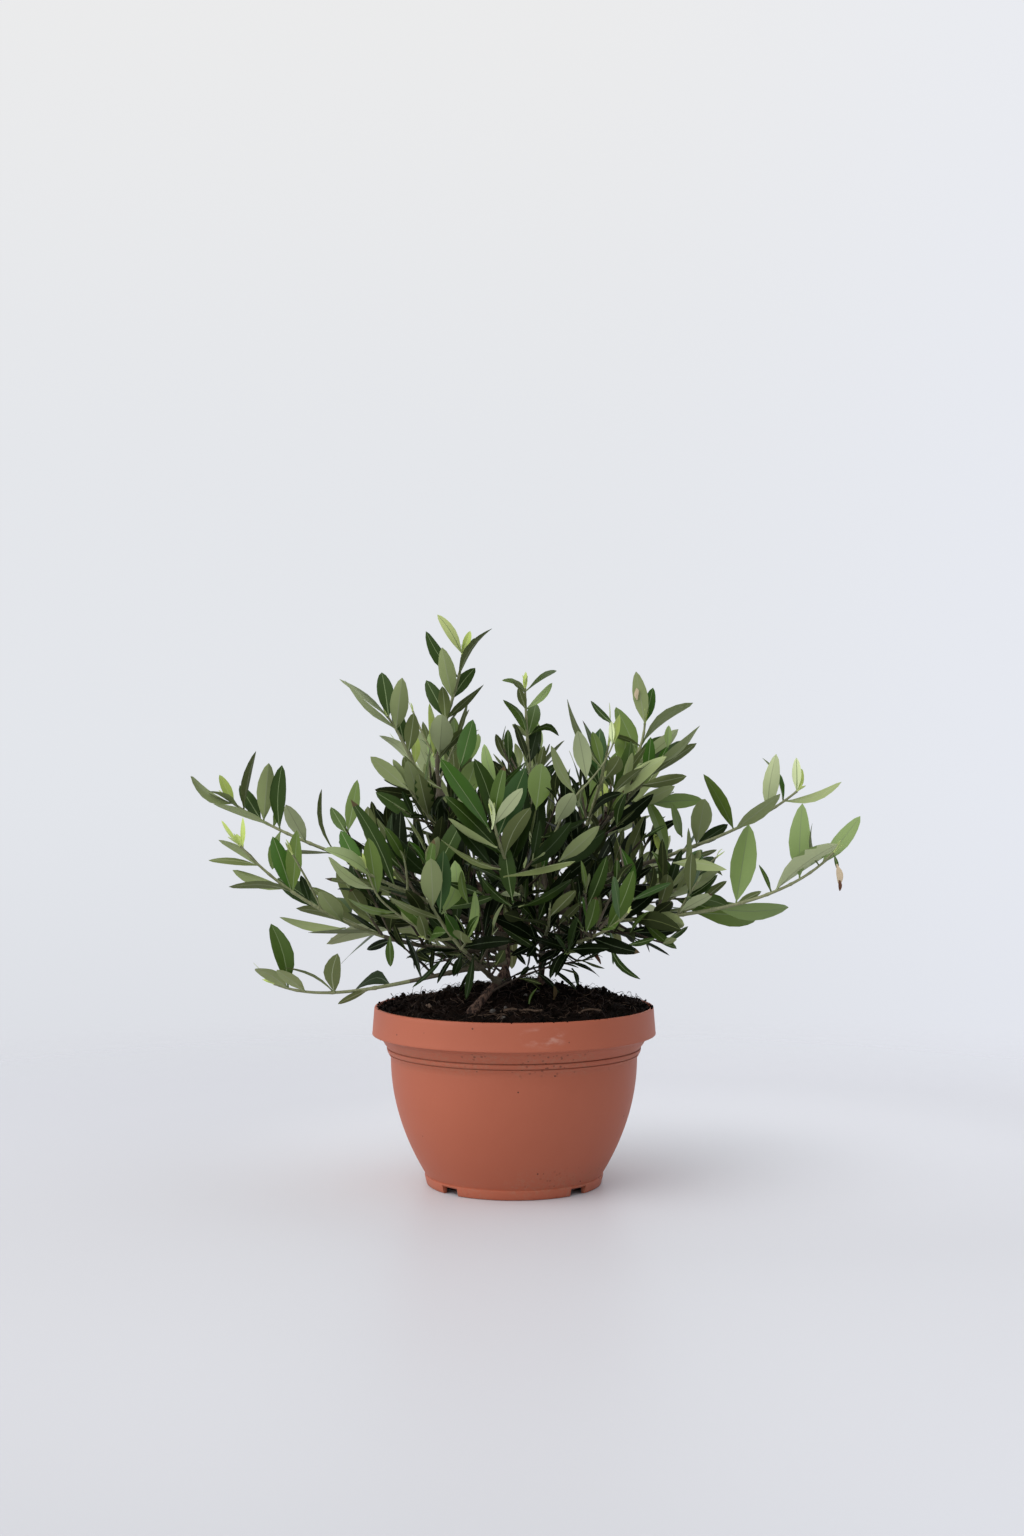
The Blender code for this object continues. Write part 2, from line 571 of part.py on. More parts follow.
def leaf_solid(name, leaf):
    """Eight faces: a roofed blade that is folded down a little along its rib.

    Its root is an upright edge, sunk almost to the middle of the twig, so that
    the two roots of a pair don't meet inside it.
    """
    side = np.cross(leaf["face"], leaf["way"])
    stand = leaf["face"] * LEAF_ROOT_HEIGHT / 2
    rise = leaf["face"] * LEAF_THICKNESS
    half = leaf["width"] / 2
    root = leaf["base"] + leaf["way"] * LEAF_ROOT_OFFSET
    middle = leaf["base"] + leaf["way"] * leaf["length"] * LEAF_WIDEST
    fold = leaf["face"] * half * LEAF_FOLD
    corners = (
        root + stand, root - stand,
        middle + side * half - fold, middle - side * half - fold,
        leaf["base"] + leaf["way"] * leaf["length"], middle + rise)
    root_top, root_low, left, right, tip, crest = range(6)
    faces = (
        (crest, tip, left), (crest, left, root_top), (crest, root_top, right), (crest, right, tip),
        (root_low, left, tip), (root_low, tip, right), (root_top, left, root_low),
        (root_top, root_low, right))
    return mesh_from(name, corners, faces)


def drop_loose_shells(mesh):
    """Keeps the largest shell, so loose scraps go and sealed hollows are filled."""
    bm = bmesh.new()
    bm.from_mesh(mesh)
    left = set(bm.verts)
    shells = []
    while left:
        shell = set()
        waiting = [left.pop()]
        while waiting:
            vert = waiting.pop()
            shell.add(vert)
            for edge in vert.link_edges:
                other = edge.other_vert(vert)
                if other in left:
                    left.remove(other)
                    waiting.append(other)
        shells.append(shell)
    largest = max(shells, key=len)
    loose = [vert for shell in shells if shell is not largest for vert in shell]
    bmesh.ops.delete(bm, geom=loose, context="VERTS")
    bm.to_mesh(mesh)
    bm.free()
    return len(shells) - 1


def fuse(name, meshes):
    """One Boolean union of a leader with a collection of twigs and leaves, applied."""
    collection = bpy.data.collections.new(name + "_pieces")
    bpy.context.scene.collection.children.link(collection)
    for mesh in meshes[1:]:
        collection.objects.link(bpy.data.objects.new(mesh.name, mesh))
    leader = bpy.data.objects.new(name + "_leader", meshes[0])
    bpy.context.scene.collection.objects.link(leader)
    union = leader.modifiers.new("union", "BOOLEAN")
    union.operation = "UNION"
    union.operand_type = "COLLECTION"
    union.collection = collection
    union.solver = "MANIFOLD"
    bpy.context.view_layer.update()
    evaluated = leader.evaluated_get(bpy.context.evaluated_depsgraph_get())
    fused = bpy.data.meshes.new_from_object(evaluated)
    fused.name = name
    for piece in [leader, *collection.objects]:
        mesh = piece.data
        bpy.data.objects.remove(piece)
        bpy.data.meshes.remove(mesh)
    bpy.data.collections.remove(collection)
    dropped = drop_loose_shells(fused)
    if dropped:
        print(name, dropped, "loose shells dropped")
    return fused


def material(name, colour, roughness):
    made = bpy.data.materials.new(name)
    made.use_nodes = True
    shader = made.node_tree.nodes["Principled BSDF"]
    shader.inputs["Base Color"].default_value = (*colour, 1.0)
    shader.inputs["Roughness"].default_value = roughness
    shader.inputs["Metallic"].default_value = 0.0
    return made


def place(name, mesh, finish, smooth_angle=None):
    """Adds a named sub-part to the scene."""
    thing = bpy.data.objects.new(name, mesh)
    mesh.materials.clear()
    mesh.materials.append(finish)
    if smooth_angle is not None:
        mesh.shade_smooth()
        mesh.set_sharp_from_angle(angle=math.radians(smooth_angle))
    bpy.context.scene.collection.objects.link(thing)
    return thing


def body_radius(z):
    """The bowl's outer radius below its shoulder."""
    depth = (BODY_TOP_Z - z) / (BODY_TOP_Z - BODY_FOOT_Z)
    return BODY_TOP_RADIUS - (BODY_TOP_RADIUS - BODY_FOOT_RADIUS) * depth ** BODY_POWER


def inside_profile():
    """The pot's inner wall, from its floor up to the lip, as radius and height."""
    floor_z = PLATE_Z + WALL
    points = [(body_radius(floor_z) - WALL, floor_z)]
    points += [(body_radius(z) - WALL, z) for z in INSIDE_LEVELS]
    points.append((COVE_RADIUS - WALL, COVE_Z))
    points.append((RIM_FOOT_RADIUS - RIM_WALL, POT_HEIGHT - RIM_DROP))
    points.append((RIM_TOP_RADIUS - WALL, POT_HEIGHT))
    return points


def pot_profile():
    """Half section of the pot from the middle of its floor, up, over the rim and down."""
    points = [(0.0, PLATE_Z + WALL)]
    points += inside_profile()
    points.append((RIM_TOP_RADIUS - RIM_BEVEL, POT_HEIGHT))
    points.append((RIM_TOP_RADIUS, POT_HEIGHT - RIM_BEVEL))
    points.append((RIM_FOOT_RADIUS, POT_HEIGHT - RIM_DROP))
    points.append((NECK_RADIUS, NECK_Z))
    points.append((COVE_RADIUS, COVE_Z))
    for z in np.linspace(BODY_TOP_Z, BODY_FOOT_Z, BODY_STEPS + 1):
        points.append((body_radius(z), float(z)))
    points.append((FOOT_RADIUS, 0.0))
    points.append((FOOT_RADIUS - FOOT_RING_WALL, 0.0))
    points.append((FOOT_RADIUS - FOOT_RING_WALL, PLATE_Z))
    points.append((0.0, PLATE_Z))
    return points


def cutter(name, mesh, target):
    """A hidden solid that a Boolean takes out of its target."""
    tool = bpy.data.objects.new(name, mesh)
    tool.hide_render = True
    tool.display_type = "WIRE"
    bpy.context.scene.collection.objects.link(tool)
    cut = target.modifiers.new(name, "BOOLEAN")
    cut.operation = "DIFFERENCE"
    cut.object = tool
    cut.solver = "EXACT"
    return tool


def ring_of_boxes(name, count, circle, size):
    """Boxes round a circle, each turned to face out, with their floors below the ground."""
    bm = bmesh.new()
    for k in range(count):
        angle = (k + 0.5) * 2 * math.pi / count
        box = bmesh.ops.create_cube(bm, size=1.0)["verts"]
        bmesh.ops.scale(bm, vec=size, verts=box)
        bmesh.ops.translate(bm, vec=(circle, 0, 0), verts=box)
        bmesh.ops.rotate(bm, cent=(0, 0, 0), matrix=Matrix.Rotation(angle, 3, "Z"), verts=box)
    mesh = bpy.data.meshes.new(name)
    bm.to_mesh(mesh)
    bm.free()
    return mesh


def ring_of_pins(name, count, circle, radius, low, high):
    """Upright pins round a circle."""
    bm = bmesh.new()
    for k in range(count):
        angle = k * 2 * math.pi / count
        pin = bmesh.ops.create_cone(
            bm, cap_ends=True, segments=DRAIN_STEPS, radius1=radius, radius2=radius, depth=high - low)
        centre = (circle * math.cos(angle), circle * math.sin(angle), (low + high) / 2)
        bmesh.ops.translate(bm, vec=centre, verts=pin["verts"])
    mesh = bpy.data.meshes.new(name)
    bm.to_mesh(mesh)
    bm.free()
    return mesh


def make_pot(finish):
    """The turned bowl, with notches through its foot ring and drain holes in its floor."""
    profile = pot_profile()
    mesh = bpy.data.meshes.new("pot")
    mesh.from_pydata([(r, 0, z) for r, z in profile], [(k, k + 1) for k in range(len(profile) - 1)], [])
    pot = bpy.data.objects.new("pot", mesh)
    mesh.materials.append(finish)
    bpy.context.scene.collection.objects.link(pot)
    turn = pot.modifiers.new("turn", "SCREW")
    turn.axis = "Z"
    turn.angle = 2 * math.pi
    turn.steps = ROUND_STEPS
    turn.render_steps = ROUND_STEPS
    turn.use_merge_vertices = True
    turn.merge_threshold = 0.00001
    turn.use_smooth_shade = True
    notch_size = (3 * FOOT_RING_WALL, NOTCH_WIDTH, 2 * NOTCH_HEIGHT)
    notch = ring_of_boxes("notch", NOTCH_COUNT, FOOT_RADIUS - FOOT_RING_WALL / 2, notch_size)
    drain = ring_of_pins(
        "drain", DRAIN_COUNT, DRAIN_CIRCLE, DRAIN_RADIUS, PLATE_Z - WALL, PLATE_Z + 2 * WALL)
    tools = [cutter("notches", notch, pot), cutter("drains", drain, pot)]
    return pot, tools


def soil_height(x, y, seats):
    """The mound's height, level on each stem's seat."""
    for centre, radius in seats:
        if math.dist((x, y), centre) < radius + GAP:
            return mound(*centre)
    return mound(x, y)


def circle_points(centre, radius, steps, turn=0.0):
    angles = np.linspace(0, 2 * math.pi, steps, endpoint=False) + turn
    return [(centre[0] + radius * math.cos(a), centre[1] + radius * math.sin(a)) for a in angles]


def make_soil(finish):
    """Soil that fills the pot to just under its lip, with a level seat under each stem."""
    seats = [(stem["foot"], stem["radii"][0] * (1 + FLARE_GAIN) + SEAT_MARGIN) for stem in STEMS.values()]
    profile = [(r - GAP, z + GAP) for r, z in inside_profile()]
    low, high = profile[-2:]
    share = (SOIL_EDGE_Z - low[1]) / (high[1] - low[1])
    profile[-1] = (low[0] + (high[0] - low[0]) * share, SOIL_EDGE_Z)
    rings = [[(x, y, z) for x, y in circle_points((0, 0), r, ROUND_STEPS)] for r, z in profile]
    vertices = [v for ring in rings for v in ring]
    faces = [tuple(reversed(range(ROUND_STEPS)))]
    for k in range(len(rings) - 1):
        for j in range(ROUND_STEPS):
            n = (j + 1) % ROUND_STEPS
            here = k * ROUND_STEPS
            faces.append((here + j, here + n, here + ROUND_STEPS + n, here + ROUND_STEPS + j))

    top = [Vector(v[:2]) for v in rings[-1]]
    edge_count = len(top)
    for centre, radius in seats:
        top += [Vector(p) for p in circle_points(centre, radius, SEAT_STEPS)]
    for radius, steps in SOIL_RINGS:
        for point in circle_points((0, 0), radius, steps, turn=radius * RING_TWIST):
            if all(math.dist(point, centre) > seat * SEAT_REACH for centre, seat in seats):
                top.append(Vector(point))
    made, _, triangles, origins, _, _ = delaunay_2d_cdt(top, [], [], 0, 1e-6)
    offset = len(vertices)
    index = []
    for k, point in enumerate(made):
        origin = origins[k][0]
        if origin < edge_count:
            index.append(offset - ROUND_STEPS + origin)
        else:
            index.append(len(vertices))
            vertices.append((point.x, point.y, soil_height(point.x, point.y, seats)))
    faces += [tuple(index[k] for k in triangle) for triangle in triangles]
    return place("soil", mesh_from("soil", vertices, faces), finish)


def clear_start(path, radius, parent, parent_radii):
    """Share of a path at which a limb's flat end first stands clear of its parent."""
    tangents, across = frames(path)
    angles = np.linspace(0, 2 * math.pi, 12, endpoint=False)
    fine = even(parent, 5 * CURVE_POINTS)
    fine_radii = np.linspace(*parent_radii, len(fine))
    for share in np.linspace(0, LATEST_START, 6 * CURVE_POINTS):
        centre, tangent, side = look(path, tangents, across, share)
        other = np.cross(tangent, side)
        ring = centre + radius * (np.outer(np.cos(angles), side) + np.outer(np.sin(angles), other))
        reach = np.linalg.norm(ring[:, None] - fine[None], axis=2) - fine_radii
        if reach.min() >= GAP:
            return share
    return LATEST_START


def main():
    for thing in list(bpy.data.objects):
        bpy.data.objects.remove(thing)

    clay = material("terracotta_plastic", (0.34, 0.10, 0.062), 0.55)
    earth = material("potting_soil", (0.012, 0.008, 0.006), 0.95)
    bark = material("grey_brown_bark", (0.06, 0.038, 0.027), 0.85)
    young_bark = material("green_bark", (0.17, 0.15, 0.09), 0.7)
    leaf_green = material("olive_leaf", (0.08, 0.125, 0.045), 0.5)

    made = []
    pot, tools = make_pot(clay)
    made += [pot, *tools, make_soil(earth)]

    stems = stem_paths()
    shoots = shoot_paths(stems)
    limbs = [(path, STEMS[name]["radii"]) for name, path in stems.items()]
    for name, path in stems.items():
        stem = STEMS[name]
        flared = even(path, FLARE_RINGS + 1, 0.0, FLARED_SHARE)[:-1]
        rings = np.vstack([flared, even(path, STEM_RINGS, FLARED_SHARE, 1.0)])
        made.append(place(name, tube(name, rings, stem["radii"], stem["sides"], FLARE_GAIN), bark, 50))

    leaders = {}
    for name, row in SHOOTS.items():
        shoot = dict(zip(SHOOT_FIELDS, row))
        path = shoots[name]
        length = run_of(path)[-1]
        stem_radii = STEMS[shoot["stem"]]["radii"]
        foot_radius = LEADER_RADIUS * BOUGH_GAIN if shoot["bare"] else LEADER_RADIUS
        start = GAP / length
        if shoot["share"] < 1.0:
            start = clear_start(path, foot_radius, stems[shoot["stem"]], stem_radii)
        if shoot["bare"]:
            end = shoot["bare"]
            bough = even(path, BOUGH_RINGS, start, end)
            limbs.append((even(path, CURVE_POINTS, start, end), (foot_radius, LEADER_RADIUS)))
            mesh = tube(name + "_bough", bough, (foot_radius, LEADER_RADIUS), BOUGH_SIDES)
            made.append(place(name + "_bough", mesh, young_bark, 50))
            start = end + GAP / length
        leaders[name] = even(path, CURVE_POINTS, start, 1.0)

    space = Space(shoots, limbs)
    for name, row in SHOOTS.items():
        shoot = dict(zip(SHOOT_FIELDS, row))
        leader = leaders[name]
        rng = random.Random(shoot["seed"])
        leaves, twigs = grow_axis(
            rng, leader, shoot["pairs"], shoot["leaf"] / 1000, shoot["lift"], shoot["twigs"])
        spine = axis_spine(leader, leader_shares(name, leader, shoot))
        pieces = [tube(name, spine, (LEADER_RADIUS, LEADER_TIP_RADIUS), TWIG_SIDES)]
        axes = [leader]
        for path, pairs, twig_leaves in twigs:
            if space.holds(name, path[TWIG_POINTS // 4:], SPACE_MARGIN):
                twig_spine = axis_spine(path, node_shares(pairs))
                pieces.append(tube(name, twig_spine, (TWIG_RADIUS, TWIG_TIP_RADIUS), TWIG_SIDES))
                axes.append(path)
                leaves += twig_leaves
        foliage = Foliage(axes)
        trials = [[shown_leaf(leader, row, number, extra) for extra in TILT_TRIALS]
                  for number, row in enumerate(SHOWN_LEAVES.get(name, ()))]
        reach = shown_reach(name)
        trials += [[leaf] for leaf in leaves if np.linalg.norm(leaf["base"] - leader[-1]) > reach]
        for options in trials:
            for leaf in options:
                edge = leaf_lines(leaf, SPACE_SHARES).reshape(-1, 3)
                if not space.holds(name, edge, SPACE_MARGIN):
                    continue
                if not foliage.touches_twig(leaf) and not foliage.crosses(leaf):
                    foliage.leaves.append(leaf)
                    pieces.append(leaf_solid(name, leaf))
                    break
        mesh = fuse(name + "_leaves", pieces)
        made.append(place(name + "_leaves", mesh, leaf_green))
        print(name, len(foliage.leaves), "leaves", len(mesh.polygons), "faces")

    corners = [thing.matrix_world @ Vector(corner) for thing in made if not thing.hide_render
               for corner in thing.bound_box]
    root = bpy.data.objects.new("plant", None)
    bpy.context.scene.collection.objects.link(root)
    for thing in made:
        thing.parent = root
    middle = [(min(c[k] for c in corners) + max(c[k] for c in corners)) / 2 for k in (0, 1)]
    root.location = (-middle[0], -middle[1], 0.0)


main()
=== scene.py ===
import math
import random

import bpy
import numpy as np
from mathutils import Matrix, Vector
from mathutils.geometry import delaunay_2d_cdt


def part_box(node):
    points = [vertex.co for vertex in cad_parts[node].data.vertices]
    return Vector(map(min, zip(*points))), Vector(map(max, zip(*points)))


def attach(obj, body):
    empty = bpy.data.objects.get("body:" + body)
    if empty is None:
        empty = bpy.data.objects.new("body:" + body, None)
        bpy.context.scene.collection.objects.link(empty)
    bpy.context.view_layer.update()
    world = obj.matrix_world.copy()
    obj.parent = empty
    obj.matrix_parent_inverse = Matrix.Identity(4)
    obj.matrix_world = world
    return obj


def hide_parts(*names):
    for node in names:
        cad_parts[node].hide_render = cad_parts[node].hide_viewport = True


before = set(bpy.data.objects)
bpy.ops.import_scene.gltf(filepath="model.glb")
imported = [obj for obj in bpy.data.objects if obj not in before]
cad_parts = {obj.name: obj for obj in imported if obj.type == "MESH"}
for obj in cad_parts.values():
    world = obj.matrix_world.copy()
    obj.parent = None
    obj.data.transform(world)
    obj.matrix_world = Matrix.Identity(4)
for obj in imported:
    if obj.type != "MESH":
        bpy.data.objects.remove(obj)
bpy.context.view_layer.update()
potLow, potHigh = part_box("pot")
# every mesh is worked out round the pot's own axis, and addPiece moves it to this place
potAxis = np.array([(potLow.x + potHigh.x) / 2, (potLow.y + potHigh.y) / 2, 0.0])
up = np.array([0.0, 0.0, 1.0])


# Numbers and shapes

# a vector divided by its length
def unit(vector):
    return vector / max(float(np.linalg.norm(vector)), 1e-12)


# each row divided by its length
def units(rows):
    return rows / np.maximum(np.linalg.norm(rows, axis=-1, keepdims=True), 1e-12)


# cos a * side + sin a * other
def turned(side, other, angle):
    return side * math.cos(angle) + other * math.sin(angle)


# even angles round a circle
def circle(steps):
    return np.linspace(0, 2 * np.pi, steps, endpoint=False)


# points (r cos a, r sin a, z)
def polar(radius, angle, z):
    return np.stack(np.broadcast_arrays(radius * np.cos(angle), radius * np.sin(angle), z), axis=-1)


# smooth noise from -1 to 1: random values on a unit lattice, joined by 3t^2 - 2t^3 along each axis
def grain(points, seed):
    cell = np.floor(points).astype(np.int64)
    t = points - cell
    t = t * t * (3 - 2 * t)
    total = 0.0
    for corner in range(8):
        step = np.array([(corner >> k) & 1 for k in range(3)])
        key = (cell + step) @ np.array([73856093, 19349663, 83492791]) + seed * 2654435
        key = ((key ^ (key >> 13)) * 1274126177) & 0x7fffffff
        value = ((key ^ (key >> 16)) & 0xffff) / 32767.5 - 1
        total = total + value * np.prod(np.where(step, t, 1 - t), axis=-1)
    return total


# sum of grain at doubling frequencies, each at half the strength of the last
def layeredGrain(points, seed, layers):
    return sum(grain(points * 2 ** k, seed + k) / 2 ** k for k in range(layers))


# quads of a grid of rows x columns whose last column joins the first
def gridFaces(rows, columns):
    row, column = np.meshgrid(np.arange(rows - 1), np.arange(columns), indexing="ij")
    row = row * columns
    after = (column + 1) % columns
    quads = [row + column, row + after, row + columns + after, row + columns + column]
    return np.stack(quads, axis=-1).reshape(-1, 4)


# a closed tube: its grid, then a cap on the first row and one on the last
def tubeFaces(rows, columns, offset=0):
    last = offset + (rows - 1) * columns
    caps = [list(range(offset, offset + columns))[::-1], list(range(last, last + columns))]
    return (gridFaces(rows, columns) + offset).tolist() + caps


# triangles from one corner to each step of a closed ring
def fanFaces(middle, first, steps, over=False):
    pairs = [(first + k, first + (k + 1) % steps) for k in range(steps)]
    return [[middle, b, a] if over else [middle, a, b] for a, b in pairs]


# one finished object at the origin, moved onto the pot's axis in its mesh
def addPiece(name, corners, faces, finishes, slots=None, sharpAngle=None):
    mesh = bpy.data.meshes.new(name)
    corners = np.asarray(corners, float).reshape(-1, 3) + potAxis
    mesh.from_pydata(corners.tolist(), [], faces)
    for finish in finishes:
        mesh.materials.append(finish)
    if slots is not None:
        mesh.polygons.foreach_set("material_index", np.asarray(slots, np.int32))
    mesh.shade_smooth()
    if sharpAngle:
        mesh.set_sharp_from_angle(angle=math.radians(sharpAngle))
    mesh.update()
    piece = bpy.data.objects.new(name, mesh)
    bpy.context.scene.collection.objects.link(piece)
    return piece


# unit tangents, and side vectors that turn as little as they can
def frames(path):
    tangents = units(np.gradient(path, axis=0))
    side = np.cross(tangents[0], up)
    if np.linalg.norm(side) < 0.2:
        side = np.cross(tangents[0], (1.0, 0.0, 0.0))
    sides = []
    for tangent in tangents:
        side = unit(side - tangent * (side @ tangent))
        sides.append(side)
    return tangents, np.array(sides)


# a ring of unit vectors at each point of a path: cos a * side + sin a * other
def ringsRound(angle, sides, other):
    return np.cos(angle)[None, :, None] * sides[:, None] + np.sin(angle)[None, :, None] * other[:, None]


# thin tubes along many paths at once: ring k of a path = point k + radius k * its ring of unit vectors
def tubeMesh(paths, radii, around):
    corners, faces, owner = [], [], []
    offset = 0
    for number, (path, radius) in enumerate(zip(paths, radii)):
        tangents, sides = frames(path)
        ring = ringsRound(circle(around), sides, np.cross(tangents, sides))
        corners.append((path[:, None] + ring * radius[:, None, None]).reshape(-1, 3))
        made = tubeFaces(len(path), around, offset)
        faces += made
        owner += [number] * len(made)
        offset += len(path) * around
    return np.concatenate(corners), faces, np.array(owner)


# Nodes

# a socket in a node tree: sums, differences, products and comparisons add Math nodes
class Thread:
    def __init__(self, wiring, socket):
        self.wiring = wiring
        self.socket = socket

    def maths(self, operation, first, second):
        return self.wiring.node("ShaderNodeMath", {"operation": operation}, {0: first, 1: second})

    def __add__(self, other):
        return self.maths("ADD", self, other)

    def __rsub__(self, other):
        return self.maths("SUBTRACT", other, self)

    def __mul__(self, other):
        return self.maths("MULTIPLY", self, other)

    def __lt__(self, other):
        return self.maths("LESS_THAN", self, other)

    __radd__ = __add__
    __rmul__ = __mul__

    # 0 below low, 1 above high, smooth between
    def step(self, low, high):
        settings = {"interpolation_type": "SMOOTHSTEP"}
        return self.wiring.node("ShaderNodeMapRange", settings, {0: self, 1: low, 2: high})

    # 1 from full to last, falling to 0 at start and end
    def between(self, start, full, last, end):
        return self.step(start, full) * (1 - self.step(last, end))


# a node tree, where one method adds every kind of node
class Wiring:
    def __init__(self, tree, coordinates):
        self.tree = tree
        self.place = self.node("ShaderNodeTexCoord", output=coordinates)

    # one node: its settings come first, then the values or links of its sockets
    def node(self, kind, settings=None, sockets=None, output=0):
        made = self.tree.nodes.new(kind)
        for key, value in (settings or {}).items():
            setattr(made, key, value)
        for key, value in (sockets or {}).items():
            if isinstance(value, Thread):
                self.tree.links.new(value.socket, made.inputs[key])
            else:
                made.inputs[key].default_value = value
        return Thread(self, made.outputs[output])

    # one coordinate of the place: 0, 1 or 2
    def part(self, axis):
        return self.node("ShaderNodeSeparateXYZ", None, {0: self.place}, output=axis)

    def mix(self, share, first, second):
        first = first if isinstance(first, Thread) else (*first, 1)
        second = second if isinstance(second, Thread) else (*second, 1)
        return self.node("ShaderNodeMix", {"data_type": "RGBA"}, {0: share, 6: first, 7: second}, output=2)


# a material and the nodes that paint it
class Finish(Wiring):
    def __init__(self, name, roughness, specular, colour=None):
        self.material = bpy.data.materials.new(name)
        self.material.use_nodes = True
        super().__init__(self.material.node_tree, "Object")
        self.shader = self.tree.nodes["Principled BSDF"]
        self.shader.inputs["Roughness"].default_value = roughness
        self.shader.inputs["Specular IOR Level"].default_value = specular
        if colour:
            self.shader.inputs["Base Color"].default_value = (*colour, 1)

    def noise(self, scale, detail=3.0, roughness=0.55, stretch=(1, 1, 1)):
        where = self.node("ShaderNodeMapping", None, {"Vector": self.place, "Scale": stretch})
        sockets = {"Vector": where, "Scale": scale, "Detail": detail, "Roughness": roughness}
        return self.node("ShaderNodeTexNoise", None, sockets)

    # small round spots: 1 in a spot, 0 outside
    def spots(self, scale, size):
        sockets = {"Vector": self.place, "Scale": scale}
        return self.node("ShaderNodeTexVoronoi", None, sockets, output="Distance") < size

    # distance from a point, divided by three radii: 1 on the ellipsoid
    def distanceFrom(self, centre, radii):
        away = self.node("ShaderNodeVectorMath", {"operation": "SUBTRACT"}, {0: self.place, 1: centre})
        away = self.node("ShaderNodeVectorMath", {"operation": "DIVIDE"}, {0: away, 1: radii})
        return self.node("ShaderNodeVectorMath", {"operation": "LENGTH"}, {0: away}, output="Value")

    def paint(self, socket, value):
        self.tree.links.new(value.socket, self.shader.inputs[socket])

    def bump(self, height, distance, strength):
        sockets = {"Height": height, "Distance": distance, "Strength": strength}
        self.paint("Normal", self.node("ShaderNodeBump", None, sockets))


# Camera, light and floor

view = {
    "distance": 1.38,
    "height": 0.2926,
    "side": -0.0014,
    "focalPixels": 1950,
    "imageHeight": 1536,
    "sensor": 36.0,
    "nearest": 0.05,
}


# level camera: lens = sensor height x focal length in pixels / image height in pixels
def makeCamera():
    camera = bpy.data.objects.new("camera", bpy.data.cameras.new("camera"))
    camera.data.sensor_fit = "VERTICAL"
    camera.data.sensor_height = view["sensor"]
    camera.data.lens = view["sensor"] * view["focalPixels"] / view["imageHeight"]
    camera.data.clip_start = view["nearest"]
    camera.location = Vector(potAxis) + Vector((view["side"], -view["distance"], view["height"]))
    camera.rotation_euler = (math.pi / 2, 0, 0)
    bpy.context.scene.collection.objects.link(camera)
    bpy.context.scene.camera = camera


light = {
    "keyFrom": (-1.30, -0.95, 1.75),
    "keyTo": (0, 0, 0.15),
    "keySize": 2.2,
    "keyPower": 20,
    "keyColour": (1.0, 0.985, 0.96),
    "below": (0.62, 0.625, 0.66),
    "sky": [(-0.50, -0.08, (0.705, 0.720, 0.767)), (-0.22, 0.02, (0.770, 0.791, 0.832)),
            (-0.04, 0.14, (0.778, 0.795, 0.830)), (0.10, 0.42, (0.836, 0.837, 0.840))],
    "coolSide": (0.815, 0.842, 0.925),
    "coolEdge": (0.0, 0.3),
    "cooling": 0.5,
    "dimSide": (0.45, -0.89),
    "dimEdge": (0.0, 0.9),
    "dimming": 0.5,
    "glowFrom": (-0.62, -0.40, 0.68),
    "glowEdge": (0.25, 0.95),
    "glow": 0.95,
}
ground = {
    # the floor's colour is lighter to the right, more so at the back: painted light that lifts the shade
    # there
    "nearLeft": (0.538, 0.542, 0.570),
    "nearRight": (0.577, 0.583, 0.614),
    "farLeft": (0.54, 0.547, 0.585),
    "farRight": (0.60, 0.607, 0.647),
    "toBack": (-0.45, 0.45),
    "toRight": (-0.35, 0.25),
    # a paler colour painted where the cast shadow of pot and plant falls: painted light that lifts the shadow
    "paintedLightPatch": (0.77, 0.78, 0.82),
    "paintedLightPlace": ((0.13, 0.10, 0), (1.15, 0.98, 1)),
    "paintedLightEdge": (0.08, 0.36),
    "paintedLightStrength": 0.64,
    "roughness": 0.42,
    "fade": (0.40, 1.00),
    "radius": 1.6,
    "rings": 24,
    "steps": 96,
    "z": -0.0002,
}


# room: bands of colour by height, cooler at the right, dimmer behind the viewer, bright round the window
def makeLight():
    lamp = bpy.data.lights.new("window", "AREA")
    lamp.shape = "SQUARE"
    lamp.size = light["keySize"]
    lamp.energy = light["keyPower"]
    lamp.color = light["keyColour"]
    key = bpy.data.objects.new("window", lamp)
    key.location = Vector(potAxis) + Vector(light["keyFrom"])
    target = Vector(potAxis) + Vector(light["keyTo"])
    key.rotation_euler = (target - key.location).to_track_quat("-Z", "Y").to_euler()
    bpy.context.scene.collection.objects.link(key)

    world = bpy.data.worlds.new("paleRoom")
    world.use_nodes = True
    bpy.context.scene.world = world
    sky = Wiring(world.node_tree, "Generated")
    x, y, z = (sky.part(axis) for axis in range(3))
    colour = light["below"]
    for low, high, above in light["sky"]:
        colour = sky.mix(z.step(low, high), colour, above)
    colour = sky.mix(x.step(*light["coolEdge"]) * light["cooling"], colour, light["coolSide"])
    dim = (x * light["dimSide"][0] + y * light["dimSide"][1]).step(*light["dimEdge"])
    toWindow = x * light["glowFrom"][0] + y * light["glowFrom"][1] + z * light["glowFrom"][2]
    strength = 1 - dim * light["dimming"] + toWindow.step(*light["glowEdge"]) * light["glow"]
    background = sky.tree.nodes["Background"]
    sky.tree.links.new(colour.socket, background.inputs["Color"])
    sky.tree.links.new(strength.socket, background.inputs["Strength"])
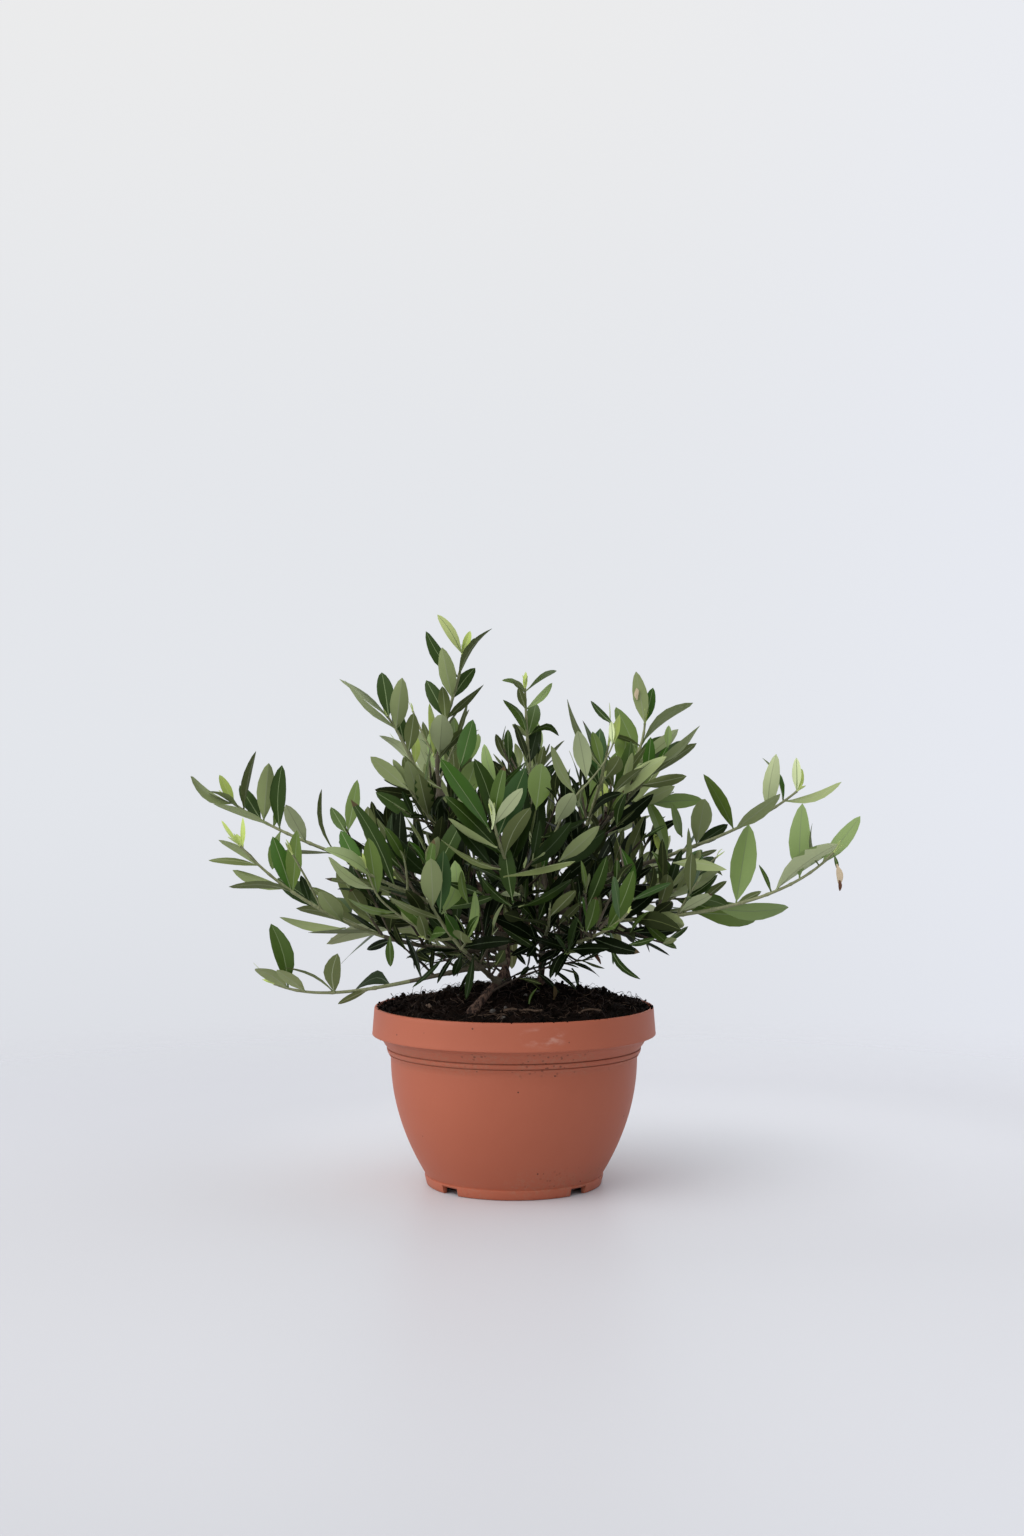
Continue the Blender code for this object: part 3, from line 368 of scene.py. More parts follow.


# a flat disc of rings under the pot that fades into the room's own colour, with painted light where shadow
# falls
def makeFloor():
    finish = Finish("paleFloor", ground["roughness"], 0.22)
    away = finish.distanceFrom(tuple(potAxis), (1, 1, 1))
    # painted light: a paler patch over the cast shadow
    paintedLightPatch = 1 - finish.distanceFrom(*ground["paintedLightPlace"]).step(*ground["paintedLightEdge"])
    # painted light: lighter to the right and at the back
    back = finish.part(1).step(*ground["toBack"])
    aside = finish.part(0).step(*ground["toRight"])
    near = finish.mix(aside, ground["nearLeft"], ground["nearRight"])
    colour = finish.mix(back, near, finish.mix(aside, ground["farLeft"], ground["farRight"]))
    finish.paint("Base Color", finish.mix(paintedLightPatch * ground["paintedLightStrength"], colour, ground["paintedLightPatch"]))
    finish.paint("Alpha", 1 - away.step(*ground["fade"]))
    finish.paint("Roughness", ground["roughness"] + 0.04 * finish.noise(6))
    radius = np.linspace(0.0, ground["radius"], ground["rings"])[1:]
    rings = polar(radius[:, None], circle(ground["steps"]), ground["z"])
    corners = np.vstack([[[0, 0, ground["z"]]], rings.reshape(-1, 3)])
    faces = fanFaces(0, 1, ground["steps"])
    faces += (gridFaces(len(radius), ground["steps"])[:, ::-1] + 1).tolist()
    floor = addPiece("floor", corners, faces, [finish.material])
    print("camera, light and floor")


# Pot

pot = {
    "height": 0.1248,
    "rimTop": 0.0986,
    "rimFoot": 0.1000,
    "rimDrop": 0.0195,
    "neck": (0.0922, 0.1004),
    "bodyTop": (0.0870, 0.0898),
    "bodyFoot": (0.0622, 0.0068),
    "bodyPower": 2.05,
    "footRadius": 0.0615,
    "footWall": 0.0024,
    "plateZ": 0.0070,
    "wall": 0.0022,
    "columns": 216,
    "notchCount": 4,
    "notchWidth": 0.014,
    "notchHeight": 0.0048,
    "drainCount": 4,
    "drainRadius": 0.005,
    "drainCircle": 0.036,
    "drainSteps": 24,
}
potLook = {
    "colour": (0.383, 0.101, 0.053),
    "paleColour": (0.423, 0.121, 0.067),
    "dust": (0.36, 0.17, 0.11),
    "dusting": 0.55,
    "shoulder": (0.084, 0.093, 0.100, 0.108),
    "foot": (0.004, 0.030),
    "scuff": (0.60, 0.36, 0.29),
    "scuffing": 0.6,
    "scuffPlace": ((0.020, -0.0965, 0.1155), (0.022, 0.02, 0.009)),
    # grime: the colour of soil grains on shoulder and foot, and of painted shade in the two grooves
    "grimeAndGrooveShade": (0.130, 0.044, 0.026),
    "grooves": ((0.0957, 0.0968), (0.0918, 0.0929)),
    "grooveEdge": 0.0004,
    "grooveShadeStrength": 0.45,
    "graining": 0.75,
    "speck": (0.05, 0.022, 0.015),
    "specking": 0.85,
    "roughness": 0.44,
}


# moulded plastic: cloudy colour, dust on shoulder and foot, a scuff, painted shade in the grooves, grains and
# specks
def makePotPlastic():
    finish = Finish("potPlastic", 0.5, 0.27)
    z = finish.part(2)
    cloudy = finish.noise(16, 3)
    colour = finish.mix(cloudy, potLook["colour"], potLook["paleColour"])
    shoulder = z.between(*potLook["shoulder"])
    foot = 1 - z.step(*potLook["foot"])
    patchy = finish.noise(34, 4).step(0.42, 0.62)
    dusty = (shoulder * 0.8 + foot * 0.9) * patchy * finish.noise(420, 2).step(0.40, 0.66)
    colour = finish.mix(dusty * potLook["dusting"], colour, potLook["dust"])
    centre, radii = potLook["scuffPlace"]
    fromScuff = finish.distanceFrom(tuple(potAxis + centre), radii)
    scuff = (1 - fromScuff.step(0.2, 1.0)) * finish.noise(160, 4, stretch=(0.35, 1, 1)).step(0.46, 0.66)
    colour = finish.mix(scuff * potLook["scuffing"], colour, potLook["scuff"])
    # the grooves are painted darker: painted shade in the recesses
    edge = potLook["grooveEdge"]
    for low, high in potLook["grooves"]:
        groove = z.between(low, low + edge, high - edge, high)
        colour = finish.mix(groove * potLook["grooveShadeStrength"], colour, potLook["grimeAndGrooveShade"])
    grains = finish.spots(260, 0.22) * (shoulder + foot) * finish.noise(28, 3).step(0.50, 0.62)
    colour = finish.mix(grains * potLook["graining"], colour, potLook["grimeAndGrooveShade"])
    specks = finish.spots(85, 0.055) * finish.noise(30, 1).step(0.50, 0.58)
    colour = finish.mix(specks * potLook["specking"], colour, potLook["speck"])
    finish.paint("Base Color", colour)
    finish.paint("Roughness", potLook["roughness"] + 0.16 * cloudy + 0.25 * dusty)
    finish.bump(finish.noise(260, 2) * 0.6 + finish.noise(900, 2) * 0.4, 0.00012, 0.5)
    return finish.material


# bowl: radius falls from the shoulder to the foot by a power of the depth below the shoulder
def bowlRadius(z):
    depth = (pot["bodyTop"][1] - z) / (pot["bodyTop"][1] - pot["bodyFoot"][1])
    return pot["bodyTop"][0] - (pot["bodyTop"][0] - pot["bodyFoot"][0]) * depth ** pot["bodyPower"]


# half section (r, z) down the outside, from the lip to the foot ring and up its inner side to the plate
def potOutside():
    top, rim, skirt = pot["height"], pot["rimTop"], pot["rimFoot"]
    drop = top - pot["rimDrop"]
    foot, ring = pot["bodyFoot"][0], pot["footRadius"]
    inside = ring - pot["footWall"]
    half = [(rim - 0.0020, top), (rim - 0.0010, top), (rim - 0.0003, top - 0.0003), (rim, top - 0.0010)]
    fall = pot["rimDrop"] - 0.0018
    half += [(rim + (skirt - rim) * t, top - 0.001 - fall * t) for t in (0.15, 0.4, 0.7, 0.94)]
    half += [(skirt + 0.0001, drop + 0.0009), (skirt, drop + 0.0003), (skirt - 0.0006, drop)]
    half += [(skirt - 0.0024, drop + 0.0001), (skirt - 0.0030, drop - 0.0006)]
    # the hollow under the rim, the neck, its two grooves and the shoulder
    half += [(0.0946, 0.1036), (0.0932, 0.1022), pot["neck"], (0.0914, 0.0990), (0.0903, 0.0978),
             (0.0899, 0.0970), (0.0897, 0.0967), (0.0889, 0.0963), (0.0890, 0.0960), (0.0898, 0.0957),
             (0.0897, 0.0950), (0.0894, 0.0938), (0.0891, 0.0930), (0.0888, 0.0928), (0.0879, 0.0924),
             (0.0879, 0.0921), (0.0884, 0.0918), (0.0881, 0.0910)]
    half += [(bowlRadius(z), z) for z in np.linspace(pot["bodyTop"][1], pot["bodyFoot"][1] + 0.0006, 26)]
    half += [(foot + 0.0002, 0.0070), (foot + 0.0008, 0.0066), (foot + 0.0009, 0.0060)]
    half += [(ring + 0.0004, 0.0010), (ring, 0.0002), (ring - 0.0003, 0.0)]
    return half + [(inside + 0.0003, 0.0), (inside, 0.0003), (inside, pot["plateZ"])]


# half section up the inside: the bowl less its wall, then the hollow of the rim
def potInside():
    levels = np.linspace(pot["plateZ"] + pot["wall"], pot["bodyTop"][1], 12)
    wall = [(bowlRadius(z) - pot["wall"], z) for z in levels]
    wall += [(0.0880, 0.0965), (0.0905, 0.1010), (0.0935, 0.1040), (0.0962, 0.1060), (0.0966, 0.1150)]
    return wall + [(pot["rimTop"] - 0.0024, pot["height"] - 0.0006)]


# the skin's angles, with a close pair at either side of each notch, and which of them lie in a notch
def notchedAngles():
    half = pot["notchWidth"] / 2 / pot["footRadius"]
    notches = (np.arange(pot["notchCount"]) + 0.5) * 2 * np.pi / pot["notchCount"]

    def fromNotch(angle):
        return abs((angle[:, None] - notches + np.pi) % (2 * np.pi) - np.pi).min(axis=1)

    angle = circle(pot["columns"])
    angle = angle[abs(fromNotch(angle) - half) > 0.008]
    edges = (notches[:, None] + np.array([-half - 0.001, -half, half, half + 0.001])).ravel()
    angle = np.sort(np.concatenate([angle, edges]))
    return angle, fromNotch(angle) < half + 0.0005


# a flat plate inside a ring: a Delaunay mesh less the triangles in its drain holes; its corners are those of
# the ring, then those of the holes
def drilledPlate(ring, level):
    columns, steps = len(ring), pot["drainSteps"]
    middles = polar(pot["drainCircle"], circle(pot["drainCount"]), 0)[:, :2]
    rims = middles[:, None] + polar(pot["drainRadius"], circle(steps), 0)[:, :2]
    rims = rims.reshape(-1, 2)
    wires = [(columns + steps * k + j, columns + steps * k + (j + 1) % steps)
             for k in range(pot["drainCount"]) for j in range(steps)]
    flat = [Vector(corner) for corner in [*ring[:, :2], *rims]]
    made, _, triangles, origins, _, _ = delaunay_2d_cdt(flat, wires, [], 0, 1e-7)
    centres = np.array([np.mean([made[k] for k in triangle], axis=0) for triangle in triangles])
    solid = np.linalg.norm(centres[:, None] - middles, axis=2).min(axis=1) > pot["drainRadius"]
    kept = [[origins[k][0] for k in triangle] for keep, triangle in zip(solid, triangles) if keep]
    return np.column_stack([rims, np.full(len(rims), level)]), kept


# turned skin: r(s) and z(s) carried round the axis; the foot's edge rises to a flat roof in each notch, and
# two drilled plates close the skin
def makePot():
    profile = np.array(potOutside()[::-1] + potInside()[::-1])
    angle, cut = notchedAngles()
    z = np.where(cut[None] & (profile[:, 1:2] < pot["notchHeight"]), pot["notchHeight"], profile[:, 1:2])
    skin = polar(profile[:, :1], angle, z)
    faces = gridFaces(len(profile), len(angle)).tolist()
    corners = skin.reshape(-1, 3)
    plates = ((0, pot["plateZ"], True), (len(profile) - 1, pot["plateZ"] + pot["wall"], False))
    for row, level, over in plates:
        rims, plate = drilledPlate(skin[row], level)
        own = row * len(angle) + np.arange(len(angle))
        places = np.concatenate([own, len(corners) + np.arange(len(rims))])
        faces += [places[face[::-1] if over else face].tolist() for face in plate]
        corners = np.vstack([corners, rims])
    steps, first = pot["drainSteps"], skin.size // 3
    second = first + steps * pot["drainCount"]
    for k in range(pot["drainCount"]):
        for j in range(steps):
            a, b = steps * k + j, steps * k + (j + 1) % steps
            faces.append([first + b, first + a, second + a, second + b])
    piece = addPiece("potBowl", corners, faces, [makePotPlastic()], sharpAngle=42)
    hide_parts("pot")
    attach(piece, "root")
    print("pot", len(faces), "faces")


# Soil

soil = {
    "edgeZ": 0.1232,
    "crown": 0.005,
    "moundHeight": 0.0095,
    "moundCentre": (0.006, 0.022),
    "moundSpread": 0.050,
    "reach": 0.0958,
    "wallGap": 0.0004,
    "rings": 110,
    "steps": 300,
    "seed": 5,
}
soilLook = {
    "colour": (0.0105, 0.0053, 0.0035),
    "wet": (0.003, 0.0018, 0.0012),
    "dry": (0.027, 0.0145, 0.0095),
    "fibre": (0.028, 0.015, 0.010),
    "paleFibre": (0.100, 0.062, 0.040),
    "stone": (0.13, 0.12, 0.11),
}
crumbs = {
    "count": 1500,
    "sizes": (0.0006, 0.0019),  # the least, and what the largest has more
    "onRim": 60,
    "rimRadii": (0.0955, 0.0982),
    "rimSizes": (0.0004, 0.0010),
    "stoneShare": 0.02,
    # x, y, z and size of two crumbs on the pot's shoulder and of four stones on the soil
    "lone": ((0.0925, -0.003, 0.1012, 0.0011), (-0.0935, -0.012, 0.1018, 0.0006),
             (-0.0007, -0.052, 0.1275, 0.0026), (-0.0127, -0.074, 0.1250, 0.0017),
             (-0.0160, -0.072, 0.1252, 0.0014), (-0.045, -0.050, 0.1262, 0.0016)),
}
fibres = {
    "count": 620,
    "lengths": (0.004, 0.018),
    "shorter": (0.08, 0.6),  # beyond this radius, by this share
    "turn": 1.2,
    "rise": 0.0026,
    "stand": (0.001, 0.0055),
    "standing": (0.55, 0.25),  # share at the back and in front
    "radii": (0.00010, 0.00028),
    "paleShare": 0.25,
    "points": 7,
}
# bits of twig on the soil, the first of which stands up: x, y, length, heading, rise and radius
sticks = ((-0.058, -0.048, 0.012, 1.9, 0.35, 0.0011), (0.004, -0.066, 0.030, 0.05, 0.02, 0.0011),
          (-0.022, -0.040, 0.016, 0.5, 0.10, 0.0007), (0.050, -0.055, 0.018, 0.25, 0.03, 0.0008),
          (0.030, 0.048, 0.020, 2.6, 0.12, 0.0008))


# dark soil: damp patches, with dry crumbs where fine noise is high
def makeSoilFinish():
    finish = Finish("pottingSoil", 0.92, 0.07)
    damp = finish.noise(60, 4)
    crumb = finish.noise(700, 5, 0.7)
    colour = finish.mix(damp.step(0.35, 0.65), soilLook["wet"], soilLook["colour"])
    finish.paint("Base Color", finish.mix(crumb.step(0.58, 0.74), colour, soilLook["dry"]))
    finish.paint("Roughness", 0.80 + 0.18 * crumb)
    finish.bump(crumb, 0.0012, 1.0)
    return finish.material


# mound: edge height + crown (1 - r^2) + a bell round its centre that dies out at the wall
def moundHeight(x, y):
    outward = np.hypot(x, y) / (pot["rimTop"] - pot["wall"])
    away = np.hypot(x - soil["moundCentre"][0], y - soil["moundCentre"][1]) / soil["moundSpread"]
    heap = soil["moundHeight"] * np.exp(-away ** 2) * (1 - outward ** 4)
    return soil["edgeZ"] + soil["crown"] * (1 - outward ** 2) + heap


# loose surface: the mound plus lumps of 15, 6 and 2.5 mm, which fade at the wall
def soilHeight(x, y):
    spot = np.stack([x, y, 0 * x], axis=-1)
    lumps = 0.0020 * grain(spot / 0.015, 3) + 0.0030 * abs(grain(spot / 0.006, 4))
    lumps = lumps + 0.0014 * grain(spot / 0.0025, 5)
    fade = np.clip((soil["reach"] - np.hypot(x, y)) / 0.006, 0.25, 1)
    return moundHeight(x, y) + lumps * fade


# the loose surface on rings that crowd towards the wall, then the pot's inside, a little smaller
def makeSoil():
    steps, gap = soil["steps"], soil["wallGap"]
    radius = soil["reach"] * np.linspace(0, 1, soil["rings"] + 1)[1:] ** 0.85
    angle = circle(steps)
    x = radius[:, None] * np.cos(angle)
    y = radius[:, None] * np.sin(angle)
    top = np.stack([x, y, soilHeight(x, y)], axis=-1)
    inside = np.array(potInside()[:-1])
    wall = polar(inside[:, :1] - gap, angle, inside[:, 1:] + gap)[::-1]
    rows = np.concatenate([top, wall])
    middle = soilHeight(np.zeros(1), np.zeros(1))[0]
    corners = np.vstack([rows.reshape(-1, 3), [[0, 0, middle]], [[0, 0, inside[0, 1] + gap]]])
    faces = gridFaces(len(rows), steps)[:, ::-1].tolist()
    faces += fanFaces(rows.size // 3, 0, steps)
    faces += fanFaces(rows.size // 3 + 1, (len(rows) - 1) * steps, steps, over=True)
    piece = addPiece("soilMound", corners, faces, [makeSoilFinish()], sharpAngle=70)
    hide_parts("soil")
    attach(piece, "root")
    print("soil", len(faces), "faces")


# a crumb: a 3 x 6 ball of unit radius, pushed in and out at random and scaled to its size
def crumbBalls(places, sizes, rng):
    levels = ((-0.5, 0.87, 0.0), (0.25, 0.97, 0.5), (0.75, 0.66, 1.0))
    rows = [polar(width, circle(6) + twist, level) for level, width, twist in levels]
    ball = np.vstack([[[0, 0, -1.0]], *rows, [[0, 0, 1.0]]])
    count = len(places)
    push = 1 + rng.uniform(-0.35, 0.35, (count, len(ball), 1))
    squash = rng.uniform(0.6, 1.2, (count, 1, 3))
    corners = places[:, None] + ball[None] * push * squash * sizes[:, None, None]
    shell = (gridFaces(3, 6) + 1).tolist() + fanFaces(0, 1, 6, over=True) + fanFaces(19, 13, 6)
    faces = [[v + n * len(ball) for v in face] for n in range(count) for face in shell]
    return corners, faces, len(shell)


# crumbs: r is the root of an even draw, so they lie evenly; most are small, some lie on the lip, a few are
# given one by one
def makeCrumbs():
    rng = np.random.default_rng(soil["seed"])
    r = soil["reach"] * np.sqrt(rng.uniform(0, 0.98, crumbs["count"]))
    a = rng.uniform(0, 2 * np.pi, crumbs["count"])
    x, y = r * np.cos(a), r * np.sin(a)
    size = crumbs["sizes"][0] + crumbs["sizes"][1] * rng.uniform(0, 1, crumbs["count"]) ** 3
    places = np.stack([x, y, soilHeight(x, y) + size * 0.2], axis=-1)
    a = rng.uniform(0, 2 * np.pi, crumbs["onRim"])
    r = rng.uniform(*crumbs["rimRadii"], crumbs["onRim"])
    rimSize = rng.uniform(*crumbs["rimSizes"], crumbs["onRim"])
    rim = polar(r, a, pot["height"] + rimSize * 0.3)
    lone = np.array(crumbs["lone"])
    places = np.vstack([places, rim, lone[:, :3]])
    corners, faces, each = crumbBalls(places, np.concatenate([size, rimSize, lone[:, 3]]), rng)
    stones = rng.uniform(0, 1, len(places)) < crumbs["stoneShare"]
    stones[-4:] = True
    stone = Finish("smallStone", 0.7, 0.4)
    darker = tuple(0.5 * c for c in soilLook["stone"])
    stone.paint("Base Color", stone.mix(stone.noise(400), soilLook["stone"], darker))
    slots = np.repeat(stones.astype(int), each)
    piece = addPiece("soilCrumbs", corners, faces, [makeSoilFinish(), stone.material], slots, sharpAngle=50)
    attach(piece, "root")


# fibres: arcs over the soil, start + length (t - 1/2) along a heading that turns, rising by sin(pi t);
# sticks are straight, and bowed a little to one side
def makeFibres():
    rng = np.random.default_rng(soil["seed"] + 1)
    paths, radii, pale = [], [], []
    farOut, shorter = fibres["shorter"]
    for _ in range(fibres["count"]):
        r = soil["reach"] * math.sqrt(rng.uniform(0.0, 1.0)) * 0.985
        a = rng.uniform(0, 2 * np.pi)
        length = rng.uniform(*fibres["lengths"]) * (shorter if r > farOut else 1.0)
        heading = rng.uniform(0, 2 * np.pi)
        turn = rng.uniform(-fibres["turn"], fibres["turn"])
        t = np.linspace(0, 1, fibres["points"])
        x = r * np.cos(a) + length * (t - 0.5) * np.cos(heading + turn * t)
        y = r * np.sin(a) + length * (t - 0.5) * np.sin(heading + turn * t)
        keep = np.minimum(1, soil["reach"] / np.hypot(x, y))
        x, y = x * keep, y * keep
        rise = rng.uniform(0.0, fibres["rise"])
        stands = rng.uniform(*fibres["stand"]) * (rng.uniform() < fibres["standing"][0 if y[0] > 0 else 1])
        z = soilHeight(x, y) + 0.0002 + rise * np.sin(np.pi * t) + stands * t
        paths.append(np.stack([x, y, z], axis=-1))
        radii.append(rng.uniform(*fibres["radii"]) * (1 - 0.5 * t))
        pale.append(rng.uniform() < fibres["paleShare"])
    for x, y, length, heading, rise, thick in sticks:
        t = np.linspace(-0.5, 0.5, fibres["points"])
        x = x + length * t * math.cos(heading)
        y = y + length * t * math.sin(heading) + 0.06 * length * np.cos(5 * t)
        z = soilHeight(x, y) + 0.0006 + rise * length * (t + 0.5)
        paths.append(np.stack([x, y, z], axis=-1))
        radii.append(thick * (1 - 0.4 * t))
        pale.append(True)
    corners, faces, owner = tubeMesh(paths, radii, 4)
    finishes = [makeTwigBark("darkFibre", soilLook["fibre"], 0.85),
                makeTwigBark("paleFibre", soilLook["paleFibre"], 0.8)]
    piece = addPiece("soilFibres", corners, faces, finishes, np.array(pale, int)[owner], sharpAngle=60)
    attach(piece, "root")
    print("crumbs and fibres")


# Stems and shoots, by the source's rule

stems = {
    "trunk": {
        "foot": (-0.029, -0.058),
        "points": ((-0.005, -0.035, 0.158), (-0.015, -0.018, 0.193), (-0.040, -0.004, 0.234),
                   (-0.052, 0.004, 0.272)),
        "radii": (0.0042, 0.0015),
    },
    "right_stem": {
        "foot": (0.019, 0.014),
        "points": ((0.023, 0.013, 0.177), (0.042, 0.016, 0.223), (0.066, 0.020, 0.261)),
        "radii": (0.0035, 0.0014),
    },
    "back_stem": {
        "foot": (-0.004, 0.040),
        "points": ((-0.010, 0.056, 0.176), (-0.001, 0.075, 0.220), (0.005, 0.086, 0.252)),
        "radii": (0.0033, 0.0014),
    },
}
# tip in metres, leave and arrive in degrees above level, leaf in mm
shootFields = ("stem", "share", "tip", "leave", "arrive", "bare", "pairs", "twigs", "leaf", "lift", "seed")
shoots = {
    "left_long": ("trunk", 0.50, (-0.205, 0.010, 0.271), 20, 36, 0.30, 9, 1, 46, 0.60, 83),
    "left_low": ("trunk", 0.33, (-0.188, -0.040, 0.239), -10, 50, 0.32, 7, 3, 40, 0.45, 613),
    "left_hanging": ("trunk", 0.26, (-0.163, -0.055, 0.146), -6, 24, 0.30, 5, 1, 38, 0.45, 96),
    "left_back_low": ("trunk", 0.46, (-0.124, 0.055, 0.179), 6, 24, 0.30, 9, 1, 48, 0.15, 64),
    "left_front": ("trunk", 0.37, (-0.103, -0.105, 0.227), 24, 24, 0.30, 9, 4, 54, 0.45, 506),
    "front_left_low": ("trunk", 0.17, (-0.057, -0.125, 0.212), 26, 52, 0.42, 7, 2, 44, 0.45, 74),
    "left_top": ("trunk", 0.94, (-0.089, -0.012, 0.329), 44, 50, 0.10, 6, 1, 42, 0.30, 269),
    "top": ("trunk", 1.00, (-0.037, 0.018, 0.374), 80, 86, 0.00, 9, 2, 32, 0.60, 737),
    "left_high": ("trunk", 0.72, (-0.071, -0.050, 0.278), 38, 42, 0.25, 9, 3, 42, 0.60, 184),
    "front_middle": ("right_stem", 0.30, (-0.014, -0.118, 0.263), 32, 62, 0.30, 9, 4, 50, 0.45, 216),
    "front_right_low": ("right_stem", 0.16, (0.074, -0.115, 0.199), 16, 30, 0.32, 5, 2, 38, 0.30, 8),
    "front_right_up": ("right_stem", 0.62, (0.064, -0.058, 0.308), 40, 62, 0.20, 7, 4, 42, 0.60, 244),
    "top_middle": ("right_stem", 0.40, (0.008, 0.026, 0.350), 74, 88, 0.35, 7, 1, 30, 0.60, 222),
    "top_right": ("right_stem", 1.00, (0.095, 0.036, 0.325), 62, 88, 0.00, 6, 1, 40, 0.45, 204),
    "right_high": ("right_stem", 0.84, (0.103, 0.000, 0.296), 42, 48, 0.20, 9, 3, 44, 0.60, 278),
    "right_long": ("right_stem", 0.52, (0.202, 0.012, 0.276), 18, 40, 0.26, 5, 1, 42, 0.30, 323),
    "right_low": ("right_stem", 0.34, (0.218, -0.050, 0.235), 2, 48, 0.28, 9, 1, 52, 0.30, 1),
    "right_middle": ("right_stem", 0.385, (0.132, 0.030, 0.215), 14, 46, 0.30, 6, 3, 54, 0.30, 439),
    "right_drooping": ("right_stem", 0.26, (0.102, -0.030, 0.184), 12, -20, 0.30, 5, 1, 42, 0.60, 626),
    "back_left_low": ("back_stem", 0.30, (-0.093, 0.155, 0.205), 20, 42, 0.28, 9, 1, 42, 0.15, 784),
    "back_left_high": ("back_stem", 0.72, (-0.073, 0.140, 0.298), 70, 66, 0.20, 6, 3, 48, 0.45, 659),
    "back_top": ("back_stem", 1.00, (0.018, 0.110, 0.302), 62, 78, 0.00, 9, 3, 36, 0.60, 166),
    "back_right_high": ("back_stem", 0.60, (0.098, 0.140, 0.279), 22, 60, 0.22, 7, 1, 54, 0.60, 507),
    "back_right_low": ("back_stem", 0.36, (0.111, 0.150, 0.214), 16, 56, 0.28, 9, 2, 42, 0.15, 30),
    "inner_left": ("trunk", 0.60, (-0.060, 0.045, 0.217), 14, 18, 0.00, 8, 3, 48, 0.30, 511),
    "inner_right": ("right_stem", 0.44, (0.075, 0.050, 0.216), 10, 26, 0.00, 5, 3, 42, 0.60, 470),
    "inner_front": ("right_stem", 0.22, (0.024, -0.070, 0.198), 20, 50, 0.00, 6, 2, 40, 0.30, 413),
    "back_low": ("back_stem", 0.20, (0.005, 0.180, 0.217), 22, 50, 0.28, 7, 3, 40, 0.30, 285),
    "low_back": ("back_stem", 0.13, (-0.062, 0.100, 0.159), 12, 6, 0.30, 7, 2, 38, 0.15, 288),
}
shoots = {name: dict(zip(shootFields, row)) for name, row in shoots.items()}
growth = {
    "curvePoints": 40,
    "handles": (0.36, 0.28),
    "firstNode": 0.10,
    "crowding": 1.35,
    "rollScatter": 0.22,
    "spread": (62, 28),
    "spreadRange": (0.8, 1.2),
    "liftRange": (0.6, 1.4),
    "faceToTip": 0.6,
    "faceToSky": 0.5,
    "twist": 0.55,
    "lengthRange": (0.88, 1.12),
    "widthRange": (0.30, 0.39),
    "endSize": 0.82,
    "middleGain": 0.28,
    "tipLoss": 0.22,
    "twigShare": 0.55,
    "twigSpan": (0.022, 0.062),
    "twigStretch": (0.75, 1.25),
    "fourPairSpan": 0.045,
    "twigAngle": 48.7,
    "twigLift": 0.25,
    "twigFollow": 0.5,
    "twigBend": 0.35,
    "twigPoints": 12,
    "twigLeafSize": 0.86,
    "shootRadius": 0.0015,
    "gap": 0.0003,
    "spaceMargin": 0.0015,
}
# how far a new leaf keeps from what is there
clearance = {
    "limb": 0.0004,
    "leaf": 0.0006,
    "soil": 0.0025,
    "rimMargin": 0.006,
    "innerRadius": 0.088,
    "overRim": 0.150,
    "overPot": 0.1427,
    "twigRadius": 0.085,
}


# Catmull-Rom curve through the points
def smoothCurve(points, count):
    knots = np.asarray(points, float)
    knots = np.vstack([2 * knots[0] - knots[1], knots, 2 * knots[-1] - knots[-2]])
    spans = len(points) - 1
    place = np.linspace(0, spans, count)
    first = np.minimum(place.astype(int), spans - 1)
    t = (place - first)[:, None]
    a, b, c, d = (knots[first + k] for k in range(4))
    square, cube = 2 * a - 5 * b + 4 * c - d, 3 * b - a - 3 * c + d
    return 0.5 * (2 * b + (c - a) * t + square * t ** 2 + cube * t ** 3)


# length along a path at each of its points
def runOf(path):
    return np.concatenate([[0.0], np.cumsum(np.linalg.norm(np.diff(path, axis=0), axis=1))])


# evenly spaced points on a path, from a share of its length to its end
def even(path, count, start=0.0):
    run = runOf(path)
    wanted = np.linspace(start, 1.0, count) * run[-1]
    return np.stack([np.interp(wanted, run, path[:, k]) for k in range(3)], axis=1)


# cubic curve in an upright plane, with its slope given at both ends
def shootCurve(start, tip, leave, arrive, along=None):
    chord = tip - start
    level = unit(chord * (1.0, 1.0, 0.0))
    out = turned(level, up, math.radians(leave)) if along is None else along
    second = start + out * np.linalg.norm(chord) * growth["handles"][0]
    third = tip - turned(level, up, math.radians(arrive)) * np.linalg.norm(chord) * growth["handles"][1]
    t = np.linspace(0, 1, growth["curvePoints"])[:, None]
    curve = (1 - t) ** 3 * start + 3 * (1 - t) ** 2 * t * second + 3 * (1 - t) * t ** 2 * third + t ** 3 * tip
    return even(curve, growth["curvePoints"])


# point, tangent and side vector at a share of a path, linear between its points
def look(path, tangents, sides, share):
    place = share * (len(path) - 1)
    k = min(int(place), len(path) - 2)
    t = place - k
    tangent = unit(tangents[k] * (1 - t) + tangents[k + 1] * t)
    side = unit(sides[k] * (1 - t) + sides[k + 1] * t)
    return path[k] * (1 - t) + path[k + 1] * t, tangent, side


